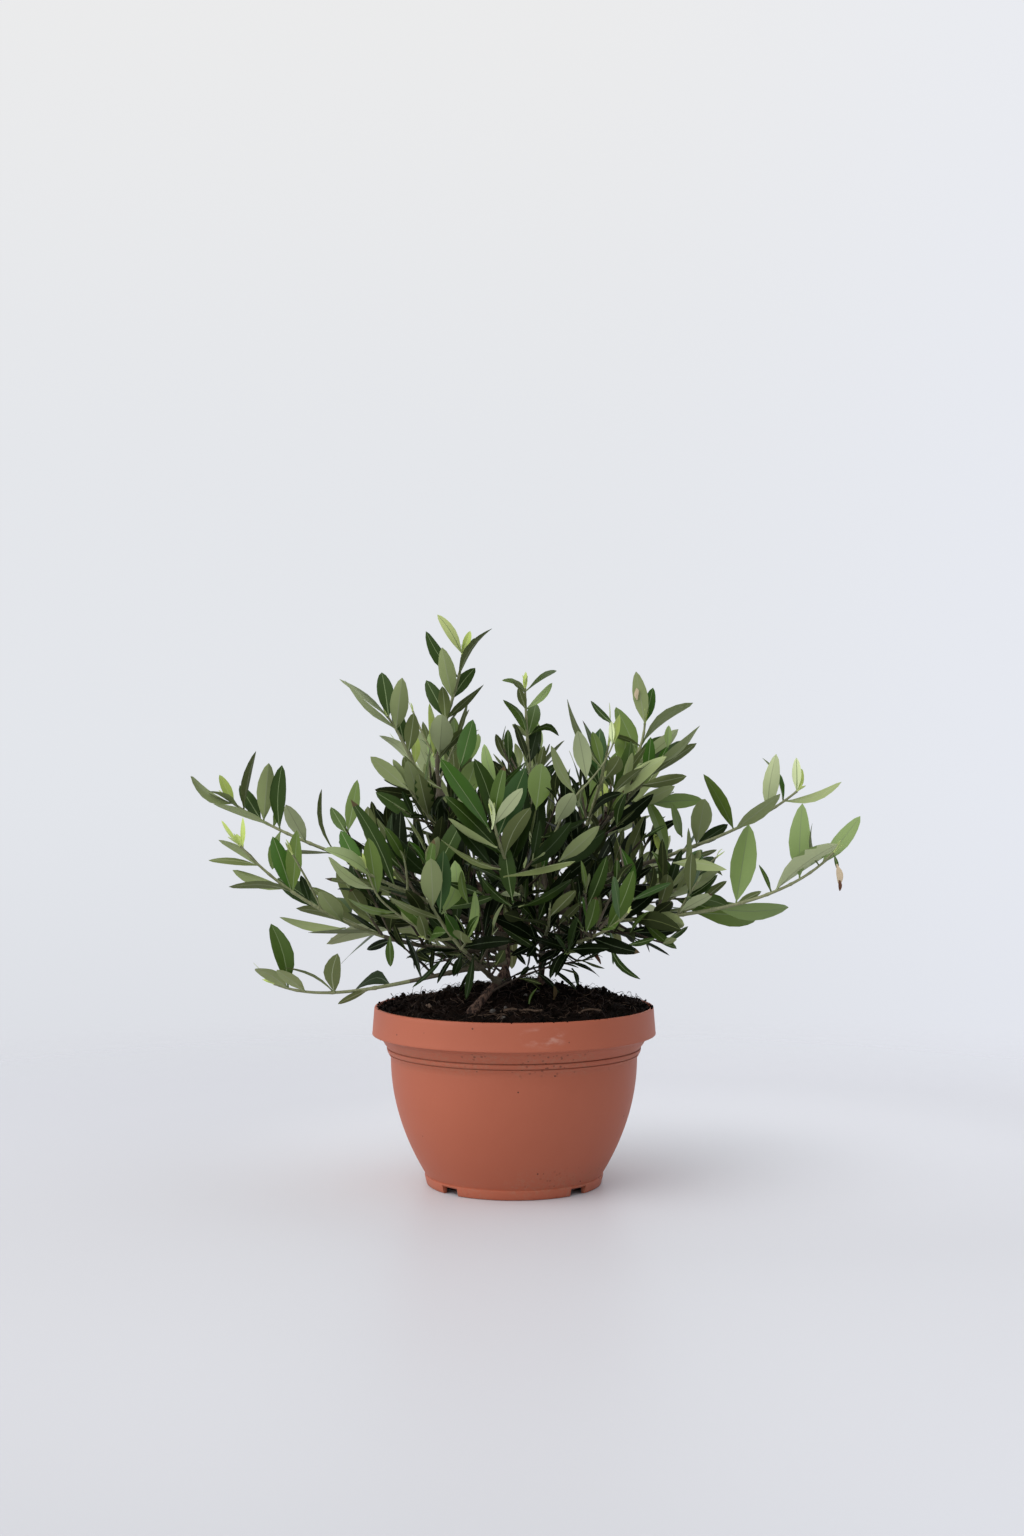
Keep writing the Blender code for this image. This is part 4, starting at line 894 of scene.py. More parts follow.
# a leaf leans out from its limb by the spread, lifts a little, and faces between the limb's tip and the sky
def growLeaf(rng, base, tangent, radial, spread, length, lift, age, order=1):
    rise = up * lift * rng.uniform(*growth["liftRange"])
    way = unit(turned(tangent, radial, spread) + rise)
    toTip = tangent - way * (tangent @ way)
    toSky = up - way * (up @ way)
    face = unit(growth["faceToTip"] * toTip + growth["faceToSky"] * toSky)
    twist = rng.gauss(0, growth["twist"])
    face = unit(turned(face, np.cross(way, face), twist))
    length = length * rng.uniform(*growth["lengthRange"])
    width = length * rng.uniform(*growth["widthRange"])
    return dict(base=base, way=way, face=face, length=length, width=width, age=age, order=order)


# shares of the nodes along a limb, closer together towards its tip: 1 - (1 - x)^crowding
def nodeShares(pairs):
    x = np.linspace(0, 1, pairs)
    return growth["firstNode"] + (1 - growth["firstNode"]) * (1 - (1 - x) ** growth["crowding"])


# leaves in crossed pairs along a path, and side twigs from its lowest nodes: each pair is turned by a right
# angle from the last, the spread narrows towards the tip, and the leaves are longest at the middle
def growAxis(rng, path, pairs, leafLength, lift, twigs=0, order=0):
    tangents, sides = frames(path)
    length = runOf(path)[-1]
    leaves, sideTwigs = [], []
    firstRoll = rng.uniform(0, math.pi)
    for node, share in enumerate(nodeShares(pairs)):
        x = node / (pairs - 1)
        base, tangent, side = look(path, tangents, sides, share)
        other = np.cross(tangent, side)
        roll = firstRoll + node * math.pi / 2 + rng.gauss(0, growth["rollScatter"])
        spread = math.radians(growth["spread"][0] + (growth["spread"][1] - growth["spread"][0]) * x)
        size = growth["endSize"] + growth["middleGain"] * math.sin(math.pi * x)
        size = leafLength * size * (1 - growth["tipLoss"] * x ** 4)
        twigTurn = rng.choice((0, 1))
        for turn in (0, 1):
            radial = turned(side, other, roll + turn * math.pi)
            lean = spread * rng.uniform(*growth["spreadRange"])
            leaf = growLeaf(rng, base, tangent, radial, lean, size, lift, 1 - x, order)
            stretch = rng.uniform(*growth["twigStretch"])
            outward = radial * rng.uniform(*growth["spreadRange"])
            twigSeed = int(rng.random() * 1e6)
            if node < twigs and turn == twigTurn:
                span = growth["twigShare"] * (1 - share) * length
                span = min(max(span, growth["twigSpan"][0]), growth["twigSpan"][1]) * stretch
                sideTwigs.append(growTwig(twigSeed, base, tangent, outward, span, leafLength, lift))
            else:
                leaves.append(leaf)
    return leaves, sideTwigs


# a twig: start + span (way (t - b) + later way * b), with b = bend t^2, and three or four pairs of leaves
def growTwig(seed, base, tangent, radial, span, leafLength, lift):
    way = unit(turned(tangent, radial, math.radians(growth["twigAngle"])) + up * growth["twigLift"])
    laterWay = unit(way + tangent * growth["twigFollow"] + up * growth["twigLift"])
    t = np.linspace(0, 1, growth["twigPoints"])[:, None]
    bend = growth["twigBend"] * t ** 2
    path = base + span * (way * (t - bend) + laterWay * bend)
    pairs = 3 if span < growth["fourPairSpan"] else 4
    leaves, _ = growAxis(random.Random(seed), path, pairs, leafLength * growth["twigLeafSize"], lift, order=1)
    return path, leaves


# half a leaf's width at a share of its length: a sine arch, widest a little below the middle
def halfWidth(width, share):
    return width / 2 * np.sin(math.pi * np.clip(share, 0, 1) ** 0.9) ** 0.85


# a point on the straight line from a leaf's base to its tip
def alongLeaf(leaf, share=1.0):
    return leaf["base"] + leaf["way"] * leaf["length"] * share


# points along a leaf's two edges and its rib
def leafLines(leaf, shares):
    side = np.cross(leaf["face"], leaf["way"]) * halfWidth(leaf["width"], shares)[:, None]
    rib = leaf["base"] + leaf["way"] * (leaf["length"] * shares)[:, None]
    return np.stack([rib - side, rib, rib + side])


lineShares = np.array([0.15, 0.3, 0.5, 0.7, 0.85, 1.0])
bladeShares = np.array([0.3, 0.5, 0.7, 0.9])
edgeShares = np.array([0.25, 0.5, 0.75, 1.0])


# true where rows of points pass through, or lie on, the flat of a leaf
def pierces(lines, leaf):
    offset = lines - leaf["base"]
    height = offset @ leaf["face"]
    share = offset @ leaf["way"] / leaf["length"]
    across = offset @ np.cross(leaf["face"], leaf["way"])

    def inside(share, across):
        return (share > 0.1) & (share < 1) & (abs(across) < halfWidth(leaf["width"], share))

    if (inside(share, across) & (abs(height) < clearance["leaf"])).any():
        return True
    before, after = height[:, :-1], height[:, 1:]
    through = before * after < 0
    t = np.where(through, before / np.where(through, before - after, 1), 0)
    share = share[:, :-1] + (share[:, 1:] - share[:, :-1]) * t
    across = across[:, :-1] + (across[:, 1:] - across[:, :-1]) * t
    return bool((through & inside(share, across)).any())


# the whole crown's leaves: a new one has to miss those already there, the limbs, the soil and the pot
class Crown:
    def __init__(self, limbPoints, limbRadii):
        self.leaves = []
        self.middles = np.zeros((0, 3))
        self.lengths = np.zeros(0)
        self.limbPoints = limbPoints
        self.limbRadii = limbRadii

    def hasRoomFor(self, leaf, overPot=False):
        blade = leafLines(leaf, bladeShares).reshape(-1, 3)
        toLimb = np.linalg.norm(blade[:, None] - self.limbPoints[None], axis=2) - self.limbRadii
        if toLimb.min() < clearance["limb"]:
            return False
        out = np.hypot(blade[:, 0], blade[:, 1])
        overSoil = moundHeight(blade[:, 0], blade[:, 1]) + clearance["soil"]
        overRim = np.where(out < clearance["innerRadius"], overSoil, clearance["overRim"])
        floor = overRim if overPot else clearance["overPot"]
        if ((out < pot["rimFoot"] + clearance["rimMargin"]) & (blade[:, 2] < floor)).any():
            return False
        apart = np.linalg.norm(self.middles - alongLeaf(leaf, 0.5), axis=1)
        near = apart < (self.lengths + leaf["length"]) / 2
        lines = leafLines(leaf, lineShares)
        for k in np.flatnonzero(near):
            other = self.leaves[k]
            if pierces(lines, other) or pierces(leafLines(other, lineShares), leaf):
                return False
        return True

    def add(self, leaf):
        self.leaves.append(leaf)
        self.middles = np.vstack([self.middles, alongLeaf(leaf, 0.5)])
        self.lengths = np.append(self.lengths, leaf["length"])


# thin, nearly bare twigs that fan out low over the soil from the feet of the stems
lowTwigs = {
    "count": 22,
    "share": (0.07, 0.30),
    "headingStep": 2.4,
    "headingScatter": 0.4,
    "length": (0.045, 0.085),
    "rise": (4, 34),
    "arrive": (-4, 30),
    "bare": 0.35,
    "leaf": (0.022, 0.034),
    "leafWidth": 0.8,
    "pairs": 4,
    "lift": -0.12,
    "reach": 0.080,
    "seed": 14,
}

# single leaves that the photograph shows: group, base, tip, width, sideways bend and colour
oddLeaves = {
    "beforeTrunk": ("inner_left", (-0.027, -0.088, 0.168), (-0.032, -0.086, 0.139), 0.0072, 0.0, "top1"),
    "left": ("inner_left", (-0.047, -0.070, 0.166), (-0.068, -0.078, 0.146), 0.0060, 0.04, "top1"),
    "insideLeft": ("inner_left", (-0.040, -0.060, 0.166), (-0.052, -0.062, 0.147), 0.0060, -0.05, "top0"),
    "middle": ("inner_right", (0.040, -0.030, 0.154), (0.044, -0.034, 0.142), 0.0060, 0.10, "top1"),
    "drooping": ("inner_right", (0.066, -0.030, 0.172), (0.087, -0.036, 0.147), 0.0078, -0.16, "top2"),
    "reddish": ("inner_right", (0.052, -0.030, 0.166), (0.060, -0.034, 0.157), 0.0050, 0.10, "withered"),
    "witheredTop": ("right_low", (0.2180, -0.052, 0.2335), (0.2206, -0.053, 0.2225), 0.0030, 0.0, "under1"),
    "witheredBit": ("right_low", (0.2196, -0.053, 0.2272), (0.2213, -0.054, 0.2127), 0.0052, 0.06, "beige"),
    "witheredTip": ("right_low", (0.2212, -0.054, 0.2165), (0.2213, -0.055, 0.2090), 0.0034, 0.0, "withered"),
    "onSoilLeft": ("inner_right", (0.0102, -0.050, 0.1318), (0.0156, -0.055, 0.1431), 0.0032, 0.10, "under1"),
    "onSoilRight": ("inner_right", (0.0271, -0.045, 0.134), (0.0273, -0.05, 0.1441), 0.0044, -0.1, "dryTip"),
}
# dry flecks: share along the leaf, share of its width aside, length and width
flecks = ((0.47, 0.22, 0.0065, 0.0030), (0.56, 0.12, 0.0050, 0.0026))
# leaves that can be told apart near the tips of the outer shoots: mm back from the tip, mm long, degrees from
# the right towards the top, width share as seen, colour of the side in view, and bulge to the left of its way
shownFields = ("back", "length", "angle", "wide", "colour", "bulge")
shown = {
    "top": (
        (0, 34, 122, 0.22, "lime", -0.11), (0, 18, 72, 0.30, "young"), (0, 15, 56, 0.24, "bright"),
        (17, 42, 55, 0.11, "under1"), (17, 41, 125, 0.24, "top2", 0.05), (33, 37, 101, 0.33, "under2"),
        (33, 28, 55, 0.36, "top2", 0.04), (48, 36, 42, 0.16, "under1", 0.04), (48, 32, 118, 0.36, "top2"),
        (50, 25, 95, 0.34, "under1")),
    "left_top": (
        (0, 42, 142, 0.11, "under3", -0.04), (2, 34, 101, 0.36, "top2"), (10, 47, 136, 0.12, "under2"),
        (12, 36, 81, 0.37, "under2"), (24, 30, 106, 0.30, "top2"), (30, 28, 80, 0.34, "under1"),
        (44, 36, 137, 0.20, "under3"), (40, 26, 95, 0.22, "young")),
    "top_middle": (
        (2, 14, 88, 0.24, "young"), (3, 28, 35, 0.12, "top5", 0.25), (3, 19, 152, 0.15, "top5", -0.32),
        (3, 12, 137, 0.42, "under2"), (15, 27, 45, 0.20, "top5", -0.04), (15, 16, 110, 0.34, "under1"),
        (35, 32, 123, 0.20, "top3", -0.12), (35, 23, 2, 0.20, "top3", 0.46), (35, 14, 140, 0.34, "under2"),
        (36, 27, 76, 0.40, "top3")),
    "top_right": (
        (0, 38, 100, 0.29, "under2"), (0, 27, 76, 0.32, "bright"), (1, 24, 80, 0.13, "young"),
        (17, 48, 40, 0.14, "under2"), (17, 24, 160, 0.14, "under1"), (24, 38, 112, 0.36, "top4"),
        (24, 26, 30, 0.34, "top3")),
    "right_high": (
        (3, 16, 62, 0.30, "bright"), (3, 40, 45, 0.18, "under2"), (14, 29, 84, 0.30, "bright"),
        (16, 44, 36, 0.16, "under1"), (22, 34, 12, 0.24, "under1", 0.05)),
    "left_long": (
        (7, 23, 116, 0.31, "young"), (7, 33, 143, 0.12, "under2", 0.03), (11, 22, 149, 0.18, "under2"),
        (15, 43, 76, 0.10, "under1"), (30, 30, 124, 0.33, "top2"), (32, 42, 83, 0.29, "under2"),
        (38, 43, 159, 0.14, "under2", -0.03), (40, 20, 77, 0.28, "top4"), (45, 46, 87, 0.26, "top2", 0.03),
        (46, 29, -104, 0.27, "top4"), (66, 29, 113, 0.42, "under3")),
    "left_low": (
        (1, 23, 128, 0.15, "young"), (2, 11, 120, 0.24, "young"), (2, 21, 90, 0.20, "young"),
        (19, 34, 173, 0.12, "under1", -0.04), (22, 37, 148, 0.17, "under2"), (44, 39, 160, 0.17, "under2"),
        (46, 39, 174, 0.13, "under1", -0.12), (47, 40, 111, 0.30, "bright"), (48, 43, 85, 0.28, "top4"),
        (62, 20, 110, 0.30, "top1")),
    "left_hanging": (
        (0, 20, 136, 0.10, "young"), (10, 45, 107, 0.27, "top3", -0.05), (10, 25, 140, 0.44, "under2"),
        (22, 24, 132, 0.42, "under2"), (42, 38, 153, 0.09, "under1", -0.06),
        (42, 30, 81, 0.40, "under1", 0.06), (66, 24, -155, 0.20, "under1"),
        (80, 27, -167, 0.25, "top1", -0.22)),
    "right_long": (
        (0, 24, 90, 0.26, "pale"), (0, 17, 70, 0.25, "young"), (12, 43, 19, 0.13, "under2"),
        (12, 34, 114, 0.14, "bright"), (26, 42, 82, 0.26, "under3"), (52, 39, 41, 0.25, "under2"),
        (53, 45, 118, 0.20, "top4", -0.10), (82, 34, 86, 0.44, "under2"), (82, 28, 32, 0.30, "top1")),
    "right_low": (
        (12, 43, 50, 0.23, "top5"), (14, 30, 101, 0.12, "under1"), (30, 52, 87, 0.27, "top5"),
        (50, 52, 41, 0.22, "under3"), (52, 21, 113, 0.12, "top3", -0.10), (78, 56, 79, 0.32, "top5"),
        (78, 20, 26, 0.30, "under1"), (92, 52, 0, 0.25, "top5"), (108, 48, -7, 0.38, "top4")),
}
# leaves that can be told apart in the front of the crown: base in mm from the pot's axis, then as above
seenFields = ("x", "y", "z", "length", "angle", "wide", "colour", "bulge")
seen = {
    "left_front": (
        (-53, 4, 302, 28, 83, 0.61, "under3"), (-57, 4, 301, 38, 95, 0.15, "young", -0.03),
        (-72, -50, 278, 34, 139, 0.34, "under2"), (-72, -47, 278, 23, 117, 0.30, "under2"),
        (-69, -42, 273, 28, 104, 0.32, "under1"), (-51, -22, 278, 34, 137, 0.18, "under1"),
        (-54, -24, 244, 29, 87, 0.32, "top0"), (-45, -14, 245, 34, 84, 0.31, "top1"),
        (-35, -30, 256, 22, 95, 0.19, "under3"), (-51, -24, 236, 15, 126, 0.50, "under3"),
        (-38, -16, 291, 37, 76, 0.36, "jade"), (-36, -20, 270, 29, 72, 0.54, "top4"),
        (-116, -20, 248, 37, 80, 0.28, "top4"), (-117, -18, 247, 22, 126, 0.40, "top3"),
        (-100, -24, 237, 29, 93, 0.34, "under1"), (-100, -102, 224, 31, 120, 0.36, "bright"),
        (-90, -98, 208, 39, 99, 0.32, "top4"), (-93, -99, 213, 35, 141, 0.15, "under3", 0.05),
        (-79, -88, 197, 33, 164, 0.18, "top4", 0.05), (-62, -72, 184, 22, 119, 0.60, "under2"),
        (-48, -119, 199, 40, 87, 0.31, "cool"), (-47, -114, 198, 34, 77, 0.38, "top5", -0.10),
        (-45, -120, 199, 21, -64, 0.43, "bright"), (-56, -123, 208, 9, 102, 0.21, "under3"),
        (-118, -37, 187, 26, 119, 0.53, "under2"), (-116, -36, 182, 45, 169, 0.11, "under2", 0.03),
        (-94, -38, 180, 46, 179, 0.09, "under1", 0.02), (-85, -44, 177, 21, -90, 0.29, "top3"),
        (-36, -50, 165, 16, -110, 0.38, "top1")),
    "front_middle": (
        (-14, -119, 253, 20, 96, 0.16, "under3"), (-13, -117, 256, 30, 52, 0.28, "under3"),
        (-11, -112, 241, 37, 149, 0.14, "under2", 0.07), (-9, -106, 226, 44, 152, 0.08, "under1", 0.08),
        (-7, -104, 221, 48, 13, 0.06, "under1", 0.07), (-11, -108, 247, 49, 68, 0.32, "cool"),
        (-1, -92, 205, 39, 98, 0.29, "top2"), (-15, -112, 251, 58, 125, 0.18, "bright"),
        (-12, -60, 280, 30, 106, 0.27, "top5"), (-12, -60, 279, 27, 42, 0.12, "bright", 0.06),
        (-2, -88, 201, 33, 135, 0.20, "top2"), (3, -86, 200, 40, 27, 0.15, "top2", -0.04),
        (4, -78, 208, 13, 177, 0.40, "under3"), (15, -50, 264, 32, 82, 0.55, "top4")),
    "front_right_up": (
        (28, -62, 255, 24, 61, 0.51, "under3"), (40, -67, 276, 35, 116, 0.21, "under2", 0.05),
        (49, -68, 285, 33, 102, 0.37, "under3"), (58, -69, 293, 51, 116, 0.12, "under1", -0.05),
        (59, -66, 294, 24, 104, 0.30, "top4"), (67, -70, 309, 20, 78, 0.27, "young"),
        (66, -71, 309, 15, 92, 0.26, "pale"), (67, -66, 322, 22, 133, 0.22, "top2"),
        (67, 16, 265, 12, 115, 0.30, "young"), (68, 15, 269, 13, 106, 0.32, "young"),
        (78, 14, 290, 35, 81, 0.47, "top4"), (83, 10, 290, 43, 31, 0.20, "top3", -0.05),
        (70, 10, 271, 47, 39, 0.20, "under2"), (81, 4, 264, 36, 26, 0.24, "under2"),
        (109, 4, 307, 16, 85, 0.35, "top5"), (109, 4, 228, 44, 108, 0.19, "top4", -0.06),
        (108, 10, 228, 19, 113, 0.35, "young"), (30, -72, 230, 36, 42, 0.28, "under2"),
        (27, -66, 225, 43, 35, 0.35, "top1"), (18, -52, 245, 36, 22, 0.19, "top2"),
        (72, -52, 239, 33, -75, 0.25, "bright", 0.04), (78, -76, 204, 30, 22, 0.18, "bright"),
        (110, -30, 227, 37, -7, 0.22, "under2", 0.08), (120, -30, 203, 33, -15, 0.25, "top3", 0.06),
        (97, -10, 234, 28, -55, 0.32, "top3"), (90, -24, 186, 31, -40, 0.20, "top3"),
        (12, -60, 241, 18, 117, 0.19, "under3")),
}
# twigs that carry them, in mm from the pot's axis
seenTwigs = {
    "left_front": (
        ((-23, -36, 160), (-47, -56, 174), (-62, -72, 184), (-79, -87, 197), (-90, -98, 209),
         (-97, -104, 227)),
        ((-104, -5, 225), (-111, -14, 237), (-116, -20, 248)),
        ((-44, -1, 245), (-40, -12, 267), (-38, -16, 292)),
        ((-45, -18, 239), (-35, -30, 257))),
    "front_middle": (((-9, -101, 241), (-11, -80, 263), (-12, -60, 280)),),
    "front_right_up": (
        ((14, -19, 195), (21, -45, 228), (30, -60, 254), (40, -66, 272), (51, -68, 284), (61, -69, 297),
         (67, -70, 310)),
        ((21, -45, 228), (28, -66, 225)), ((21, -45, 228), (16, -54, 237), (12, -60, 242)),
        ((57, -80, 185), (69, -78, 199), (76, -72, 207), (72, -52, 239))),
}


# each group's rows with the names of their fields
def withFields(table, fields):
    return {name: [dict(zip(fields, row)) for row in rows] for name, rows in table.items()}


shown = withFields(shown, shownFields)
seen = withFields(seen, seenFields)
shownLook = {
    "trueWidth": (0.30, 0.34),
    "tilt": (6, 9),
    "tiltTrials": (0, 14, -14, 26),
    "mostTilt": 50,
    "clear": 0.006,
    "face": (0.15, 1.0, 0.35),
    "edgeOnFace": (0.0, 1.0, 0.0),
    "oddFace": (0.15, -1.0, 0.35),
}

# a pair of small buds ends each shoot and side twig
buds = {
    "length": (0.006, 0.011),
    "width": 0.24,
    "spread": (8, 22),
    "lift": 0.1,
    "youngOut": 0.85,
}
# small leaves at the end of a shoot that are often young and yellow
youngTips = {
    "age": 0.05,
    "length": 0.036,
    "share": 0.6,
    "seed": 8,
}
# what the source leaves out for want of room grows here, but only in the heart of the crown
filling = {
    "middle": (0.010, 0.015, 0.222),
    "radii": (0.135, 0.150, 0.085),
    "leafReach": 1.1,
    "twigShares": (0.10, 0.62),
    "twigStep": 0.017,
    "stepRange": (0.8, 1.2),
    "rollScatter": 0.3,
    "twigSpan": (0.020, 0.045),
    "leafSize": (0.8, 1.05),
    "seed": 77,
}


# true inside an ellipsoid round the crown's heart
def inHeart(point, grow=1.0):
    away = (point - np.array(filling["middle"])) / np.array(filling["radii"])
    return float(np.linalg.norm(away)) < grow


# where a shoot's flat end first stands clear of its stem, as in the source
def clearStart(path, parent, parentRadii):
    tangents, across = frames(path)
    angles = circle(12)
    fine = even(parent, 5 * growth["curvePoints"])
    fineRadii = np.linspace(*parentRadii, len(fine))
    for share in np.linspace(0, 0.5, 6 * growth["curvePoints"]):
        centre, tangent, side = look(path, tangents, across, share)
        other = np.cross(tangent, side)
        ring = np.outer(np.cos(angles), side) + np.outer(np.sin(angles), other)
        ring = centre + growth["shootRadius"] * ring
        reach = np.linalg.norm(ring[:, None] - fine[None], axis=2) - fineRadii
        if reach.min() >= growth["gap"]:
            return share
    return 0.5


# a measured leaf: a narrow view means that it is rolled edge on, a broad one that it leans to or from the
# viewer; away is where its tip leans
def measuredLeaf(base, item, name, number, extraTilt):
    narrow, broad = shownLook["trueWidth"]
    away = -1 if item["colour"].startswith("under") else 1
    tilt = math.radians(shownLook["tilt"][0] + shownLook["tilt"][1] * (number % 2) + extraTilt)
    if item["wide"] > broad:
        tilt = min(tilt + math.acos(broad / item["wide"]), math.radians(shownLook["mostTilt"]))
    angle = math.radians(item["angle"])
    level = math.cos(tilt)
    way = np.array([math.cos(angle) * level, away * math.sin(tilt), math.sin(angle) * level])
    edgeOn = item["wide"] < narrow
    face = np.array(shownLook["edgeOnFace" if edgeOn else "face"]) * (1, -away, 1)
    face = unit(face - way * (way @ face))
    if edgeOn:
        roll = math.acos(item["wide"] / narrow) * (1 if number % 2 else -1)
        face = unit(turned(face, np.cross(way, face), roll))
    inView = item["length"] / 1000
    length = inView / level
    width = inView * item["wide"] if item["wide"] > broad else length * max(item["wide"], narrow)
    return dict(base=base, way=way, face=face, length=length, width=width, age=0.4, order=0, shoot=name,
                bend=away * item.get("bulge", 0.0), colour=item["colour"], shown=number)


# stems through their points, shoots as cubic curves from them, and each shoot's leafy part
def limbPaths():
    stemPaths, shootPaths, leaders = {}, {}, {}
    for name, stem in stems.items():
        x, y = stem["foot"]
        points = [(x, y, float(moundHeight(x, y)) + growth["gap"]), *stem["points"]]
        stemPaths[name] = even(smoothCurve(points, 2 * growth["curvePoints"]), growth["curvePoints"])
    for name, shoot in shoots.items():
        stem = stemPaths[shoot["stem"]]
        start = even(stem, 2, shoot["share"])[0]
        along = unit(stem[-1] - stem[-2]) if shoot["share"] == 1.0 else None
        path = shootCurve(start, np.array(shoot["tip"]), shoot["leave"], shoot["arrive"], along)
        shootPaths[name] = path
        begin = growth["gap"] / runOf(path)[-1]
        if shoot["bare"]:
            begin += shoot["bare"]
        elif shoot["share"] < 1.0:
            begin = clearStart(path, stem, stems[shoot["stem"]]["radii"])
        leaders[name] = even(path, growth["curvePoints"], begin)
    return stemPaths, shootPaths, leaders


# a measured leaf at the first tilt that has room in the crown, or else at a fixed one
def fittedLeaf(crown, base, item, name, number, lastTilt):
    for extraTilt in shownLook["tiltTrials"]:
        leaf = measuredLeaf(base, item, name, number, extraTilt)
        if crown.hasRoomFor(leaf):
            return leaf
    return measuredLeaf(base, item, name, number, lastTilt)


# measured leaves: on a shoot the base is a distance back from its tip, in the crown it is a point
def placeMeasured(crown, shootPaths, twigPaths):
    for name, rows in shown.items():
        path = shootPaths[name]
        tangents, sides = frames(path)
        for number, item in enumerate(rows):
            base, _, _ = look(path, tangents, sides, 1 - item["back"] / 1000 / runOf(path)[-1])
            crown.add(fittedLeaf(crown, base, item, name, number, shownLook["tiltTrials"][-1]))
    for name, rows in seen.items():
        for points in seenTwigs[name]:
            path = smoothCurve(np.array(points) / 1000, growth["curvePoints"])
            twigPaths.append((name, even(path, growth["curvePoints"])))
        for number, item in enumerate(rows):
            base = np.array([item["x"], item["y"], item["z"]]) / 1000
            crown.add(fittedLeaf(crown, base, item, name, number, 0))
    print("measured leaves", len(crown.leaves))


# the source's leaves and side twigs, where each keeps nearer to its own shoot than to any other; those in the
# heart that don't are handed back to wait
def growShoots(crown, shootPaths, leaders, twigPaths):
    spacePoints = np.vstack(list(shootPaths.values()))
    owner = np.repeat(list(shootPaths), growth["curvePoints"])

    def keepsToSpace(name, points):
        distance = np.linalg.norm(points[:, None] - spacePoints[None], axis=2)
        own = owner == name
        nearest = distance[:, own].min(axis=1) + growth["spaceMargin"]
        return not (nearest > distance[:, ~own].min(axis=1)).any()

    waiting = []
    for name, shoot in shoots.items():
        leader = leaders[name]
        rng = random.Random(shoot["seed"])
        size, lift = shoot["leaf"] / 1000, shoot["lift"]
        leaves, twigs = growAxis(rng, leader, shoot["pairs"], size, lift, shoot["twigs"])
        for path, twigLeaves in twigs:
            if path[-1][2] < clearance["overRim"] and np.hypot(*path[-1][:2]) > clearance["twigRadius"]:
                continue
            if keepsToSpace(name, path[growth["twigPoints"] // 4:]):
                twigPaths.append((name, path))
                leaves += twigLeaves
            elif inHeart(path[-1]):
                twigPaths.append((name, path))
                waiting += [(name, leaf) for leaf in twigLeaves]
        # the measured leaves stand alone near the tip
        cleared = 0.0
        if name in shown:
            cleared = max(item["back"] for item in shown[name]) / 1000 + shownLook["clear"]
        leaves = [leaf for leaf in leaves if np.linalg.norm(leaf["base"] - leader[-1]) > cleared]
        for leaf in leaves:
            leaf["shoot"] = name
            if not keepsToSpace(name, leafLines(leaf, edgeShares).reshape(-1, 3)):
                waiting.append((name, leaf))
            elif crown.hasRoomFor(leaf):
                crown.add(leaf)
    dice = random.Random(youngTips["seed"])
    for leaf in crown.leaves:
        if "shown" not in leaf:
            small = leaf["order"] == 0 and leaf["length"] < youngTips["length"]
            ends = small and leaf["age"] < youngTips["age"] and "inner" not in leaf["shoot"]
            leaf["young"] = ends and dice.random() < youngTips["share"]
    return waiting


# the heart: the leaves that waited, then leafy twigs in opposite pairs along each shoot, each pair turned by
# a right angle from the last
def fillHeart(crown, waiting, shootPaths, twigPaths):
    for name, leaf in waiting:
        leaf["shoot"] = name
        if inHeart(alongLeaf(leaf)) and crown.hasRoomFor(leaf):
            crown.add(leaf)
    for name, path in shootPaths.items():
        shoot = shoots[name]
        rng = random.Random(shoot["seed"] + filling["seed"])
        tangents, sides = frames(path)
        length = runOf(path)[-1]
        share, lastShare = filling["twigShares"]
        roll = rng.uniform(0, math.pi)
        while share < lastShare:
            base, tangent, side = look(path, tangents, sides, share)
            other = np.cross(tangent, side)
            for turn in (0, 1):
                radial = turned(side, other, roll + turn * math.pi + rng.gauss(0, filling["rollScatter"]))
                span = rng.uniform(*filling["twigSpan"])
                twigSeed = int(rng.random() * 1e6)
                leafLength = shoot["leaf"] / 1000 * rng.uniform(*filling["leafSize"])
                twig, twigLeaves = growTwig(twigSeed, base, tangent, radial, span, leafLength, shoot["lift"])
                if not inHeart(twig[-1]):
                    continue
                kept = 0
                for leaf in twigLeaves:
                    if inHeart(alongLeaf(leaf), filling["leafReach"]) and crown.hasRoomFor(leaf):
                        leaf["shoot"] = name
                        crown.add(leaf)
                        kept += 1
                if kept > 1:
                    twigPaths.append((name, twig))
            roll += math.pi / 2
            share += filling["twigStep"] / length * rng.uniform(*filling["stepRange"])


# what grows on a stem itself belongs to the crown's inner leaves
def innerGroup(stem):
    return "inner_left" if stem == "trunk" else "inner_right"


